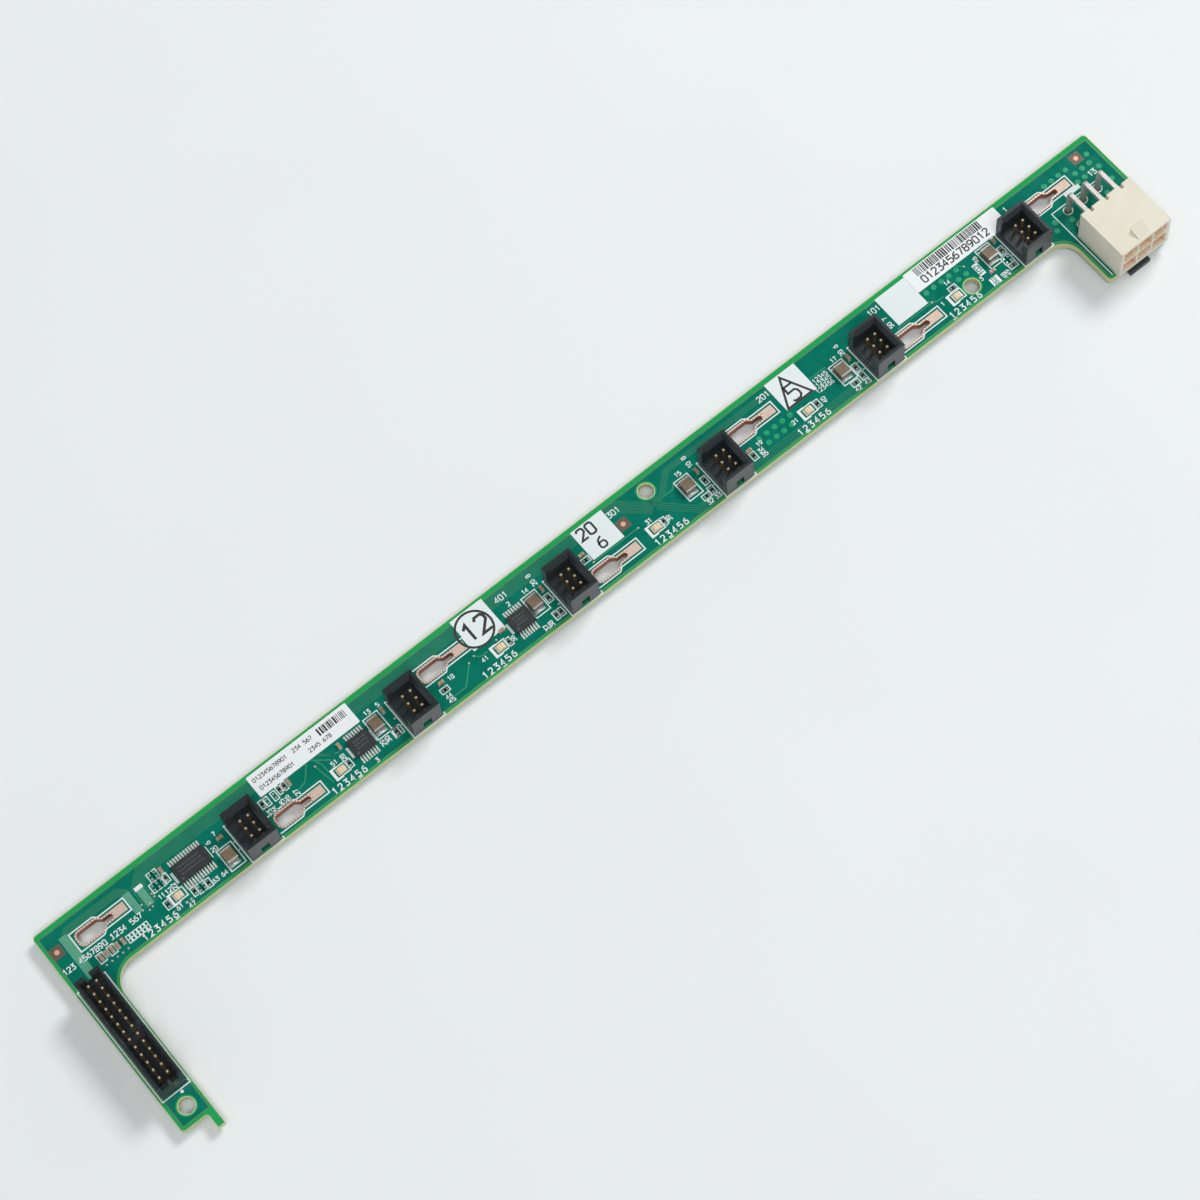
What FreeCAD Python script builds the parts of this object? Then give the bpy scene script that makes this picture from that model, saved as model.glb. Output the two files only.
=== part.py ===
import FreeCAD
import Part

import os

# Fan controller board of a server, in millimetres.
# A long narrow circuit board carries six fan headers along its bar, a signal header on the
# arm at one end and a right-angle power connector on the tab at the other end.
# Layout frame: x runs along the bar from the arm's outer edge, y is 0 at the plain long edge
# and negative across the board, z is 0 on the underside of the board.
# The fan headers and the parts beside them keep their places from the bar's front long edge.
# Every piece is moved at the end so that the origin is on the axis of the bar's screw hole.

Vector = FreeCAD.Vector
UP = Vector(0, 0, 1)

# Fan channels along the bar, numbered from the power end
CHANNELS = 6
FAN_PITCH = 41.55
LAST_FAN_FROM_ARM = 47.8
FIRST_FAN_FROM_END = 27.35

# Circuit board
BOARD_THICKNESS = 1.6
BAR_WIDTH = 16.3
BOARD_CORNER_RADIUS = 1.0
ARM_WIDTH = 7.85
ARM_LENGTH = 51.9
ARM_FILLET = 5.6
PRONG_WIDTH = 1.75
PRONG_REACH = 3.6
PRONG_FILLET = 0.7
TAB_WIDTH = 19.8
TAB_LENGTH = 30.45
TAB_FILLET = 4.6
TAB_HIDDEN_CORNER_RADIUS = 5.0

# Screw holes
SCREW_HOLE_DIAMETER = 3.5
BAR_HOLE_FROM_FAN = -15.9
BAR_HOLE_CHANNEL = 3
BAR_HOLE_Y = -4.1
LOWER_HOLE_FROM_FAN = -15.5
LOWER_HOLE_CHANNEL = 1
LOWER_HOLE_FROM_FRONT = 4.05
ARM_HOLE_X = 3.9
ARM_HOLE_FROM_ARM_END = 3.9

# Plated keyholes: a wide mouth that tapers into a narrow slot, beside each fan header
KEYHOLE_LENGTH = 8.4
KEYHOLE_MOUTH_LENGTH = 5.1
KEYHOLE_MOUTH_WIDTH = 3.0
KEYHOLE_MOUTH_RADIUS = 0.9
KEYHOLE_TAPER_LENGTH = 1.1
KEYHOLE_SLOT_WIDTH = 1.25
KEYHOLE_FROM_FAN = 13.6
ARM_KEYHOLE_X = 15.57
KEYHOLE_UPPER_FROM_FRONT = 9.6
KEYHOLE_LOWER_FROM_FRONT = 3.65
PLATING_THICKNESS = 0.1
PLATING_FLANGE_THICKNESS = 0.06
PLATING_FLANGE_RIM = 0.42
PLATING_TONGUE = 3.13

# Contact pins of the headers
PIN_PITCH = 2.0
PIN_SIDE = 0.5
PIN_TIP_CHAMFER = 0.16
PIN_TAIL = 1.3
PIN_HOLE_DIAMETER = 0.9

# Fan header shrouds
FAN_SHROUD_WIDTH = 7.2
FAN_SHROUD_LENGTH = 9.85
FAN_SHROUD_HEIGHT = 7.1
FAN_SHROUD_SIDE_WALL = 1.4
FAN_SHROUD_END_WALL = 1.52
FAN_SHROUD_FLOOR = 2.4
FAN_SHROUD_SETBACK = 0.2
FAN_SHROUD_RIM = 0.65
FAN_SHROUD_LEAD_IN = 1.0
FAN_FOOT_NOTCH_WIDTH = 2.0
FAN_FOOT_NOTCH_HEIGHT = 3.3
FAN_FOOT_NOTCH_DEPTH = 1.2
FAN_PIN_COLUMNS = 2
FAN_PIN_ROWS = 3
FAN_PIN_TIP_HEIGHT = 5.7
FAN_PIN_SHIFT_Y = -0.25

# Signal header on the arm
SIGNAL_PIN_COLUMNS = 2
SIGNAL_PIN_ROWS = 13
SIGNAL_SHROUD_X = 3.95
SIGNAL_SHROUD_FROM_ARM_END = 7.9
SIGNAL_SHROUD_WIDTH = 6.05
SIGNAL_SHROUD_HEIGHT = 7.0
SIGNAL_SHROUD_SIDE_WALL = 0.9
SIGNAL_SHROUD_END_WALL = 0.9
SIGNAL_SHROUD_END_ROOM = 1.2
SIGNAL_SHROUD_FLOOR = 2.2
SIGNAL_SHROUD_RIM = 0.45
SIGNAL_SHROUD_LEAD_IN = 0.6
SIGNAL_PIN_TIP_HEIGHT = 6.3
SIGNAL_KEY_NOTCH_WIDTH = 3.4
SIGNAL_END_NOTCH_WIDTH = 1.25
SIGNAL_END_NOTCH_FLOOR = 2.8
SIGNAL_NEAR_WALL_HEIGHT = 4.7
SIGNAL_NEAR_RIB_WIDTH = 0.7

# Power connector: two rows of three circuits, right-angled
POWER_FROM_END = 11.0
POWER_CIRCUITS = 3
POWER_PITCH = 4.2
POWER_SIDE_ROOM = 2.7
POWER_DEPTH = 13.1
POWER_HEIGHT = 9.6
POWER_OVERHANG = 0.65
POWER_SOCKET_SIDE = 3.75
POWER_SOCKET_DEPTH = 10.4
POWER_SOCKET_BEVEL = 0.9
POWER_REAR_NOTCH_WIDTH = 0.75
POWER_REAR_NOTCH_DEPTH = 1.0
LATCH_WIDTH = 3.4
LATCH_HEIGHT = 1.1
LATCH_LENGTH = 2.8
LATCH_FROM_FRONT = 0.5
TERMINAL_SIDE = 0.95
TERMINAL_BEND_RADIUS = 0.75
TERMINAL_FROM_FRONT = 2.2
UPPER_LEG_FROM_REAR = 6.0
LOWER_LEG_FROM_REAR = 1.6
TERMINAL_HOLE_DIAMETER = 1.8

# Solder around every through-hole tail: a cone on the underside, a flat ring on top at a terminal
SOLDER_HEIGHT = 0.75
SOLDER_TIP_LAND = 0.16
SOLDER_BASE_LAND = 0.3
SOLDER_RING_HEIGHT = 0.1
SOLDER_RING_LAND = 0.14

# Ribbed rubber pad under the front of the tab
PAD_WIDTH = 5.5
PAD_DEPTH = 7.0
PAD_SHIFT_X = -0.85
PAD_OVERHANG = 1.05
PAD_GROOVES = 3
PAD_GROOVE_PITCH = 0.3
PAD_GROOVE_WIDTH = 0.14
PAD_GROOVE_DEPTH = 0.25

# Gull-wing driver chips: channel, distance from that fan header, distance from the front edge,
# leads on each side, room from the last lead to the end of the body
CHIP_LEAD_PITCH = 0.65
CHIP_BODY_WIDTH = 4.4
CHIP_BODY_HEIGHT = 1.0
CHIP_STANDOFF = 0.1
CHIP_DRAFT = 0.12
CHIP_LEAD_WIDTH = 0.24
CHIP_LEAD_THICKNESS = 0.14
CHIP_LEAD_FOOT = 0.6
CHIP_LEAD_REACH = 1.0
DRIVER_CHIPS = [
    (6, -13.6, 7.7, 12, 0.325),
    (5, -12.95, 6.05, 7, 0.55),
    (4, -12.6, 6.2, 7, 0.55),
]

# Bulk ceramic capacitors, one a channel: distance from the fan header and from the front edge
BULK_LENGTH = 3.2
BULK_WIDTH = 2.55
BULK_HEIGHT = 2.0
BULK_END = 0.42
BULK_EDGE_RADIUS = 0.12
BULK_PLACES = {
    1: (-8.1, 7.1),
    2: (-8.4, 6.4),
    3: (-8.8, 7.1),
    4: (-8.2, 7.25),
    5: (-8.2, 7.25),
    6: (-6.65, 4.05),
}

# Fault lights, one a channel
LED_LENGTH = 2.2
LED_WIDTH = 1.5
LED_BASE_HEIGHT = 0.35
LED_LENS_HEIGHT = 0.8
LED_LENS_LENGTH = 1.5
LED_END = 0.3
LED_FROM_FAN = -19.6
LED_FROM_FRONT = 4.2

# Small chip parts by channel: distance from the fan header, distance from the front edge, axis
# that they lie along
SMALL_CAPACITOR = {"length": 1.3, "width": 0.75, "height": 0.65, "end": 0.28}
SMALL_RESISTOR = {"length": 1.0, "width": 0.5, "height": 0.35, "end": 0.2}
SMALL_CAPACITOR_PLACES = {
    1: [(-5.0, 9.3, "y"), (-9.9, 3.8, "x")],
    2: [(-5.2, 8.3, "y")],
    3: [(-5.0, 8.8, "y"), (6.4, 5.2, "x")],
    4: [(-5.0, 9.0, "y"), (-17.1, 7.0, "x"), (6.1, 9.5, "x")],
    5: [(-5.3, 9.1, "y"), (-16.85, 8.7, "y"), (7.7, 6.0, "x")],
    6: [(-5.85, 8.7, "x"), (-19.2, 10.8, "y"), (12.0, 9.1, "y")],
}
SMALL_RESISTOR_PLACES = {
    1: [(-19.0, 6.35, "x"), (-5.1, 6.35, "y"), (-5.55, 2.1, "x")],
    2: [(-17.1, 4.25, "y"), (-5.4, 5.45, "y"), (-5.5, 3.1, "y"), (-7.75, 2.7, "x")],
    3: [(-17.5, 4.35, "y"), (-5.0, 6.05, "y"), (-5.2, 3.4, "y"), (-6.95, 3.0, "x"), (6.5, 3.65, "y")],
    4: [(-17.5, 4.15, "y"), (-5.1, 6.5, "y"), (-6.2, 2.4, "y"), (-5.05, 2.4, "y"), (6.1, 8.1, "x")],
    5: [(-17.45, 4.35, "y"), (-5.8, 3.55, "y"), (7.4, 4.35, "x")],
    6: [(-22.3, 4.05, "y"), (-19.4, 8.9, "y"), (-16.45, 2.85, "y"), (-13.3, 2.45, "y"),
        (5.2, 8.8, "y"), (9.8, 9.1, "y"), (10.8, 9.1, "y")],
}
ARM_CAPACITOR_COUNT = 5
ARM_CAPACITOR_X = 8.56
ARM_CAPACITOR_PITCH = 1.35
ARM_CAPACITOR_FROM_FRONT = 3.73

# Paper labels stuck on the bar
LABEL_THICKNESS = 0.1
LABEL_EDGE_GAP = 0.75
LABEL_HEADER_GAP = 0.15
LABEL_CORNER_RADIUS = 0.3
PART_LABEL_FROM_FAN = 5.76
PART_LABEL_LENGTH = 25.6
SERIAL_LABEL_FROM_FAN = -25.25
SERIAL_LABEL_LENGTH = 25.7

# Sizes worked out from the values above
BOARD_LENGTH = LAST_FAN_FROM_ARM + (CHANNELS - 1) * FAN_PITCH + FIRST_FAN_FROM_END
BOARD_TOP = BOARD_THICKNESS
FRONT_Y = -BAR_WIDTH
ARM_END_Y = -ARM_LENGTH
TAB_END_Y = -TAB_LENGTH
TAB_INNER_X = BOARD_LENGTH - TAB_WIDTH
FAN_SHROUD_Y = FRONT_Y + FAN_SHROUD_SETBACK + FAN_SHROUD_LENGTH / 2
FAN_SHROUD_REAR_Y = FAN_SHROUD_Y + FAN_SHROUD_LENGTH / 2
SIGNAL_PIN_SPAN = (SIGNAL_PIN_ROWS - 1) * PIN_PITCH
SIGNAL_SHROUD_LENGTH = SIGNAL_PIN_SPAN + 2 * (SIGNAL_SHROUD_END_ROOM + SIGNAL_SHROUD_END_WALL)
SIGNAL_SHROUD_Y = ARM_END_Y + SIGNAL_SHROUD_FROM_ARM_END + SIGNAL_SHROUD_LENGTH / 2
POWER_WIDTH = (POWER_CIRCUITS - 1) * POWER_PITCH + 2 * POWER_SIDE_ROOM
POWER_X = BOARD_LENGTH - POWER_FROM_END
POWER_FRONT_Y = TAB_END_Y - POWER_OVERHANG
POWER_REAR_Y = POWER_FRONT_Y + POWER_DEPTH
POWER_LOWER_ROW_Z = BOARD_TOP + (POWER_HEIGHT - POWER_PITCH) / 2
POWER_UPPER_ROW_Z = POWER_LOWER_ROW_Z + POWER_PITCH


def fan_x(channel):
    """Centre line of a channel's fan header along the bar."""
    return BOARD_LENGTH - FIRST_FAN_FROM_END - (channel - 1) * FAN_PITCH


BAR_HOLE = (fan_x(BAR_HOLE_CHANNEL) + BAR_HOLE_FROM_FAN, BAR_HOLE_Y)
LOWER_HOLE = (fan_x(LOWER_HOLE_CHANNEL) + LOWER_HOLE_FROM_FAN, FRONT_Y + LOWER_HOLE_FROM_FRONT)
ARM_HOLE = (ARM_HOLE_X, ARM_END_Y + ARM_HOLE_FROM_ARM_END)
ORIGIN_SHIFT = Vector(-BAR_HOLE[0], -BAR_HOLE[1], 0)


def block(x_low, x_high, y_low, y_high, z_low, z_high):
    """Box between two corners."""
    return Part.makeBox(x_high - x_low, y_high - y_low, z_high - z_low, Vector(x_low, y_low, z_low))


def centred_block(x, y, length_x, length_y, z_low, z_high):
    """Box centred on x and y that stands between two heights."""
    return block(x - length_x / 2, x + length_x / 2, y - length_y / 2, y + length_y / 2, z_low, z_high)


def prism(points, z_low, height):
    """Upright solid on a closed outline of straight sides."""
    corners = [Vector(x, y, z_low) for x, y in points]
    wire = Part.makePolygon(corners + corners[:1])
    return Part.Face(wire).extrude(Vector(0, 0, height))


def cylinder(x, y, radius, z_low, height):
    """Upright round bar."""
    return Part.makeCylinder(radius, height, Vector(x, y, z_low), UP)


def round_upright_edges(solid, corners, radius):
    """Fillet the upright edges that stand on the named corners."""
    edges = []
    for edge in solid.Edges:
        first, last = edge.firstVertex().Point, edge.lastVertex().Point
        upright = abs(first.x - last.x) < 1e-6 and abs(first.y - last.y) < 1e-6
        if upright and any(abs(first.x - x) + abs(first.y - y) < 1e-4 for x, y in corners):
            edges.append(edge)
    return solid.makeFillet(radius, edges)


def frustum(x, y, low_sides, high_sides, z_low, z_high):
    """Four-sided solid that widens or narrows from one rectangle to another."""
    wires = []
    for (length_x, length_y), z in ((low_sides, z_low), (high_sides, z_high)):
        half_x, half_y = length_x / 2, length_y / 2
        corners = [Vector(x - half_x, y - half_y, z), Vector(x + half_x, y - half_y, z),
                   Vector(x + half_x, y + half_y, z), Vector(x - half_x, y + half_y, z)]
        wires.append(Part.makePolygon(corners + corners[:1]))
    return Part.makeLoft(wires, True, True)


def grid(x, y, columns, rows, pitch):
    """Centres of a rectangular field of pins."""
    return [(x + (column - (columns - 1) / 2) * pitch, y + (row - (rows - 1) / 2) * pitch)
            for column in range(columns) for row in range(rows)]


# Circuit board

def keyhole_places():
    """End of the narrow slot of each keyhole, from the power end to the arm."""
    places = []
    for channel in range(1, CHANNELS + 1):
        from_front = KEYHOLE_UPPER_FROM_FRONT if channel % 2 else KEYHOLE_LOWER_FROM_FRONT
        places.append((fan_x(channel) + KEYHOLE_FROM_FAN, FRONT_Y + from_front))
    places.append((ARM_KEYHOLE_X, FRONT_Y + KEYHOLE_UPPER_FROM_FRONT))
    return places


def keyhole_prism(x, y, grow, tongue, z_low, height):
    """Keyhole outline made larger by a rim all round, with an optional tongue past the slot's end."""
    mouth_left = x - KEYHOLE_LENGTH - grow
    mouth_right = x - KEYHOLE_LENGTH + KEYHOLE_MOUTH_LENGTH
    slot_start = mouth_right + KEYHOLE_TAPER_LENGTH
    mouth_half = KEYHOLE_MOUTH_WIDTH / 2 + grow
    slot_half = KEYHOLE_SLOT_WIDTH / 2 + grow
    outer_corners = [(mouth_left, y - mouth_half), (mouth_left, y + mouth_half)]
    slot_end = x + tongue if tongue else x - slot_half + grow
    points = [outer_corners[0], (mouth_right, y - mouth_half), (slot_start, y - slot_half),
              (slot_end, y - slot_half), (slot_end, y + slot_half), (slot_start, y + slot_half),
              (mouth_right, y + mouth_half), outer_corners[1]]
    solid = prism(points, z_low, height)
    solid = round_upright_edges(solid, outer_corners, KEYHOLE_MOUTH_RADIUS + grow)
    if not tongue:
        solid = solid.fuse(cylinder(slot_end, y, slot_half, z_low, height)).removeSplitter()
    return solid


def tail_places():
    """Centre, side and hole diameter of every through-hole tail."""
    tails = []
    for channel in range(1, CHANNELS + 1):
        tails += [(x, y, PIN_SIDE, PIN_HOLE_DIAMETER) for x, y in fan_pin_places(channel)]
    tails += [(x, y, PIN_SIDE, PIN_HOLE_DIAMETER) for x, y in signal_pin_places()]
    for from_rear in (UPPER_LEG_FROM_REAR, LOWER_LEG_FROM_REAR):
        tails += [(x, POWER_REAR_Y + from_rear, TERMINAL_SIDE, TERMINAL_HOLE_DIAMETER)
                  for x in power_circuit_places()]
    return tails


def circuit_board():
    """Bar with an arm and a tab, cut by screw holes, keyholes and pin holes."""
    prong_x = ARM_WIDTH - PRONG_WIDTH
    prong_end_y = ARM_END_Y - PRONG_REACH
    outline = [(0, 0), (BOARD_LENGTH, 0), (BOARD_LENGTH, TAB_END_Y), (TAB_INNER_X, TAB_END_Y),
               (TAB_INNER_X, FRONT_Y), (ARM_WIDTH, FRONT_Y), (ARM_WIDTH, prong_end_y),
               (prong_x, prong_end_y), (prong_x, ARM_END_Y), (0, ARM_END_Y)]
    board = prism(outline, 0, BOARD_THICKNESS)
    board = round_upright_edges(board, [(ARM_WIDTH, FRONT_Y)], ARM_FILLET)
    board = round_upright_edges(board, [(TAB_INNER_X, FRONT_Y)], TAB_FILLET)
    board = round_upright_edges(board, [(prong_x, ARM_END_Y)], PRONG_FILLET)
    board = round_upright_edges(board, [(BOARD_LENGTH, TAB_END_Y)], TAB_HIDDEN_CORNER_RADIUS)
    plain_corners = [(0, 0), (BOARD_LENGTH, 0), (TAB_INNER_X, TAB_END_Y), (0, ARM_END_Y)]
    board = round_upright_edges(board, plain_corners, BOARD_CORNER_RADIUS)
    cuts = [cylinder(x, y, SCREW_HOLE_DIAMETER / 2, 0, BOARD_THICKNESS)
            for x, y in (BAR_HOLE, LOWER_HOLE, ARM_HOLE)]
    cuts += [keyhole_prism(x, y, PLATING_THICKNESS, 0, 0, BOARD_THICKNESS) for x, y in keyhole_places()]
    cuts += [cylinder(x, y, hole / 2, 0, BOARD_THICKNESS) for x, y, side, hole in tail_places()]
    return board.cut(Part.makeCompound(cuts))


def keyhole_plating():
    """Copper lining of each keyhole with a flange and a tongue on the board's top face."""
    linings = []
    for x, y in keyhole_places():
        barrel = keyhole_prism(x, y, PLATING_THICKNESS, 0, 0, BOARD_THICKNESS)
        flange = keyhole_prism(x, y, PLATING_FLANGE_RIM, PLATING_TONGUE, BOARD_TOP, PLATING_FLANGE_THICKNESS)
        height = BOARD_THICKNESS + PLATING_FLANGE_THICKNESS
        opening = keyhole_prism(x, y, 0, 0, 0, height)
        linings.append(barrel.fuse(flange).cut(opening).removeSplitter())
    return Part.makeCompound(linings)


# Headers

def pin(x, y, tip_height):
    """Square contact pin from its tail under the board to its tapered tip."""
    tip_z = BOARD_TOP + tip_height
    bar = centred_block(x, y, PIN_SIDE, PIN_SIDE, -PIN_TAIL, tip_z)
    tip_edges = [edge for edge in bar.Edges
                 if all(abs(vertex.Point.z - tip_z) < 1e-6 for vertex in edge.Vertexes)]
    return bar.makeChamfer(PIN_TIP_CHAMFER, tip_edges)


def pin_field(places, tip_height):
    """Pins of one header, as separate solids."""
    return [pin(x, y, tip_height) for x, y in places]


def open_shroud(x, y, width, length, height, walls, floor, rim, lead_in):
    """Rectangular moulding that is open at the top, with a sloped lead-in inside its rim."""
    side_wall, end_wall = walls
    top_z = BOARD_TOP + height
    body = centred_block(x, y, width, length, BOARD_TOP, top_z)
    inner = (width - 2 * side_wall, length - 2 * end_wall)
    mouth = (width - 2 * rim, length - 2 * rim)
    cavity = centred_block(x, y, inner[0], inner[1], BOARD_TOP + floor, top_z)
    slope = frustum(x, y, inner, mouth, top_z - lead_in, top_z)
    return body.cut(cavity).cut(slope)


def fan_pin_places(channel):
    """Pin centres of one fan header."""
    y = FAN_SHROUD_Y + FAN_PIN_SHIFT_Y
    return grid(fan_x(channel), y, FAN_PIN_COLUMNS, FAN_PIN_ROWS, PIN_PITCH)


def fan_header_shroud(channel, pins):
    """Fan header moulding: one long side is open for the plug's key and the front has a foot notch."""
    x, y = fan_x(channel), FAN_SHROUD_Y
    walls = (FAN_SHROUD_SIDE_WALL, FAN_SHROUD_END_WALL)
    shroud = open_shroud(x, y, FAN_SHROUD_WIDTH, FAN_SHROUD_LENGTH, FAN_SHROUD_HEIGHT, walls,
                         FAN_SHROUD_FLOOR, FAN_SHROUD_RIM, FAN_SHROUD_LEAD_IN)
    left = x - FAN_SHROUD_WIDTH / 2
    inner_half = FAN_SHROUD_LENGTH / 2 - FAN_SHROUD_END_WALL
    key_slot = block(left, left + FAN_SHROUD_SIDE_WALL, y - inner_half, y + inner_half,
                     BOARD_TOP + FAN_SHROUD_FLOOR, BOARD_TOP + FAN_SHROUD_HEIGHT)
    front = y - FAN_SHROUD_LENGTH / 2
    notch_half = FAN_FOOT_NOTCH_WIDTH / 2
    foot_notch = block(x - notch_half, x + notch_half, front, front + FAN_FOOT_NOTCH_DEPTH,
                       BOARD_TOP, BOARD_TOP + FAN_FOOT_NOTCH_HEIGHT)
    return shroud.cut(key_slot).cut(foot_notch).cut(Part.makeCompound(pins))


def signal_pin_places():
    """Pin centres of the signal header."""
    return grid(SIGNAL_SHROUD_X, SIGNAL_SHROUD_Y, SIGNAL_PIN_COLUMNS, SIGNAL_PIN_ROWS, PIN_PITCH)


def signal_header_shroud(pins):
    """Long shroud with a key notch in its inner side, a notch in its far end and a low near end."""
    x, y = SIGNAL_SHROUD_X, SIGNAL_SHROUD_Y
    walls = (SIGNAL_SHROUD_SIDE_WALL, SIGNAL_SHROUD_END_WALL)
    top_z = BOARD_TOP + SIGNAL_SHROUD_HEIGHT
    floor_z = BOARD_TOP + SIGNAL_SHROUD_FLOOR
    right = x + SIGNAL_SHROUD_WIDTH / 2
    far = y + SIGNAL_SHROUD_LENGTH / 2
    near = y - SIGNAL_SHROUD_LENGTH / 2
    inner_half = SIGNAL_SHROUD_WIDTH / 2 - SIGNAL_SHROUD_SIDE_WALL
    key_half = SIGNAL_KEY_NOTCH_WIDTH / 2
    end_half = SIGNAL_END_NOTCH_WIDTH / 2
    rib_half = SIGNAL_NEAR_RIB_WIDTH / 2
    near_z = BOARD_TOP + SIGNAL_NEAR_WALL_HEIGHT
    near_inside = near + SIGNAL_SHROUD_END_WALL
    shroud = open_shroud(x, y, SIGNAL_SHROUD_WIDTH, SIGNAL_SHROUD_LENGTH, SIGNAL_SHROUD_HEIGHT, walls,
                         SIGNAL_SHROUD_FLOOR, SIGNAL_SHROUD_RIM, SIGNAL_SHROUD_LEAD_IN)
    cuts = [
        block(right - SIGNAL_SHROUD_SIDE_WALL, right, y - key_half, y + key_half, floor_z, top_z),
        block(x - end_half, x + end_half, far - SIGNAL_SHROUD_END_WALL, far,
              BOARD_TOP + SIGNAL_END_NOTCH_FLOOR, top_z),
        block(x - inner_half, x - rib_half, near, near_inside, near_z, top_z),
        block(x + rib_half, x + inner_half, near, near_inside, near_z, top_z),
    ]
    return shroud.cut(Part.makeCompound(cuts)).cut(Part.makeCompound(pins))


# Power connector

def power_circuit_places():
    """Centre lines of the power circuits along the bar."""
    middle = (POWER_CIRCUITS - 1) / 2
    return [POWER_X + (index - middle) * POWER_PITCH for index in range(POWER_CIRCUITS)]


def terminal(x, row_z, leg_y):
    """Square wire that runs back from its socket, bends down and passes through the board."""
    half = TERMINAL_SIDE / 2
    front_y = POWER_FRONT_Y + TERMINAL_FROM_FRONT
    run = block(x - half, x + half, front_y, leg_y + half, row_z - half, row_z + half)
    leg = centred_block(x, leg_y, TERMINAL_SIDE, TERMINAL_SIDE, -PIN_TAIL, row_z + half)
    wire = run.fuse(leg).removeSplitter()
    bend_edges = []
    for edge in wire.Edges:
        points = [vertex.Point for vertex in edge.Vertexes]
        if all(abs(p.y - leg_y - half) + abs(p.z - row_z - half) < 1e-6 for p in points):
            bend_edges.append(edge)
    return wire.makeFillet(TERMINAL_BEND_RADIUS, bend_edges)


def power_terminals(row_z, from_rear):
    """One row of terminals, as separate solids."""
    return [terminal(x, row_z, POWER_REAR_Y + from_rear) for x in power_circuit_places()]


def power_socket(x, row_z, bevelled):
    """Square socket that opens at the front; a bevelled one has two corners cut off."""
    half = POWER_SOCKET_SIDE / 2
    bevel = POWER_SOCKET_BEVEL if bevelled else 0
    corners = [(x - half, row_z + half), (x + half, row_z + half), (x + half, row_z - half + bevel)]
    if bevelled:
        corners += [(x + half - bevel, row_z - half), (x - half + bevel, row_z - half)]
    corners.append((x - half, row_z - half + bevel))
    points = [Vector(a, POWER_FRONT_Y, b) for a, b in corners]
    wire = Part.makePolygon(points + points[:1])
    return Part.Face(wire).extrude(Vector(0, POWER_SOCKET_DEPTH, 0))


def power_latch():
    """Ramp on the top face that the plug's latch snaps over."""
    top_z = BOARD_TOP + POWER_HEIGHT
    front_y = POWER_FRONT_Y + LATCH_FROM_FRONT
    left = POWER_X - LATCH_WIDTH / 2
    points = [Vector(left, front_y, top_z), Vector(left, front_y + LATCH_LENGTH, top_z + LATCH_HEIGHT),
              Vector(left, front_y + LATCH_LENGTH, top_z)]
    wire = Part.makePolygon(points + points[:1])
    return Part.Face(wire).extrude(Vector(LATCH_WIDTH, 0, 0))


def power_connector_housing(terminals):
    """Nylon housing with two rows of sockets, a latch ramp and a notch over each terminal."""
    top_z = BOARD_TOP + POWER_HEIGHT
    left, right = POWER_X - POWER_WIDTH / 2, POWER_X + POWER_WIDTH / 2
    housing = block(left, right, POWER_FRONT_Y, POWER_REAR_Y, BOARD_TOP, top_z).fuse(power_latch())
    cuts = []
    notch_half = POWER_REAR_NOTCH_WIDTH / 2
    for index, x in enumerate(power_circuit_places()):
        cuts.append(power_socket(x, POWER_UPPER_ROW_Z, index % 2 == 0))
        cuts.append(power_socket(x, POWER_LOWER_ROW_Z, index % 2 == 1))
        cuts.append(block(x - notch_half, x + notch_half, POWER_REAR_Y - POWER_REAR_NOTCH_DEPTH,
                          POWER_REAR_Y, POWER_UPPER_ROW_Z, top_z))
    return housing.removeSplitter().cut(Part.makeCompound(cuts)).cut(Part.makeCompound(terminals))


# Solder and pad

def solder_joints():
    """Solder that fills each pin hole and stands as a small cone on the underside."""
    joints = []
    for x, y, side, hole in tail_places():
        base_radius = hole / 2 + SOLDER_BASE_LAND
        tip_radius = side / 2 ** 0.5 + SOLDER_TIP_LAND
        fill = cylinder(x, y, hole / 2, 0, BOARD_THICKNESS)
        cone = Part.makeCone(base_radius, tip_radius, SOLDER_HEIGHT, Vector(x, y, 0), Vector(0, 0, -1))
        joint = fill.fuse(cone)
        if side == TERMINAL_SIDE:
            joint = joint.fuse(cylinder(x, y, hole / 2 + SOLDER_RING_LAND, BOARD_TOP, SOLDER_RING_HEIGHT))
        tail = centred_block(x, y, side, side, -PIN_TAIL, BOARD_TOP + SOLDER_RING_HEIGHT)
        joints.append(joint.cut(tail).removeSplitter())
    return Part.makeCompound(joints)


def connector_support_pad():
    """Rubber pad under the tab that stands as tall as the pin tails, grooved where it juts out."""
    x = POWER_X + PAD_SHIFT_X
    front = TAB_END_Y - PAD_OVERHANG
    left, right = x - PAD_WIDTH / 2, x + PAD_WIDTH / 2
    pad = block(left, right, front, front + PAD_DEPTH, -PIN_TAIL, 0)
    half = PAD_GROOVE_WIDTH / 2
    grooves = []
    for index in range(PAD_GROOVES):
        y = front + (index + 1) * PAD_GROOVE_PITCH
        grooves.append(block(left, right, y - half, y + half, -PAD_GROOVE_DEPTH, 0))
    return pad.cut(Part.makeCompound(grooves))


# Surface parts

def chip_body(x, y, leads, end_room):
    """Moulded body of a gull-wing chip, drafted above and below its parting line."""
    length = (leads - 1) * CHIP_LEAD_PITCH + 2 * end_room
    full = (length, CHIP_BODY_WIDTH)
    drafted = (length - 2 * CHIP_DRAFT, CHIP_BODY_WIDTH - 2 * CHIP_DRAFT)
    low_z = BOARD_TOP + CHIP_STANDOFF
    middle_z = low_z + CHIP_BODY_HEIGHT / 2
    lower = frustum(x, y, drafted, full, low_z, middle_z)
    upper = frustum(x, y, full, drafted, middle_z, low_z + CHIP_BODY_HEIGHT)
    return lower.fuse(upper).removeSplitter()


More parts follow.
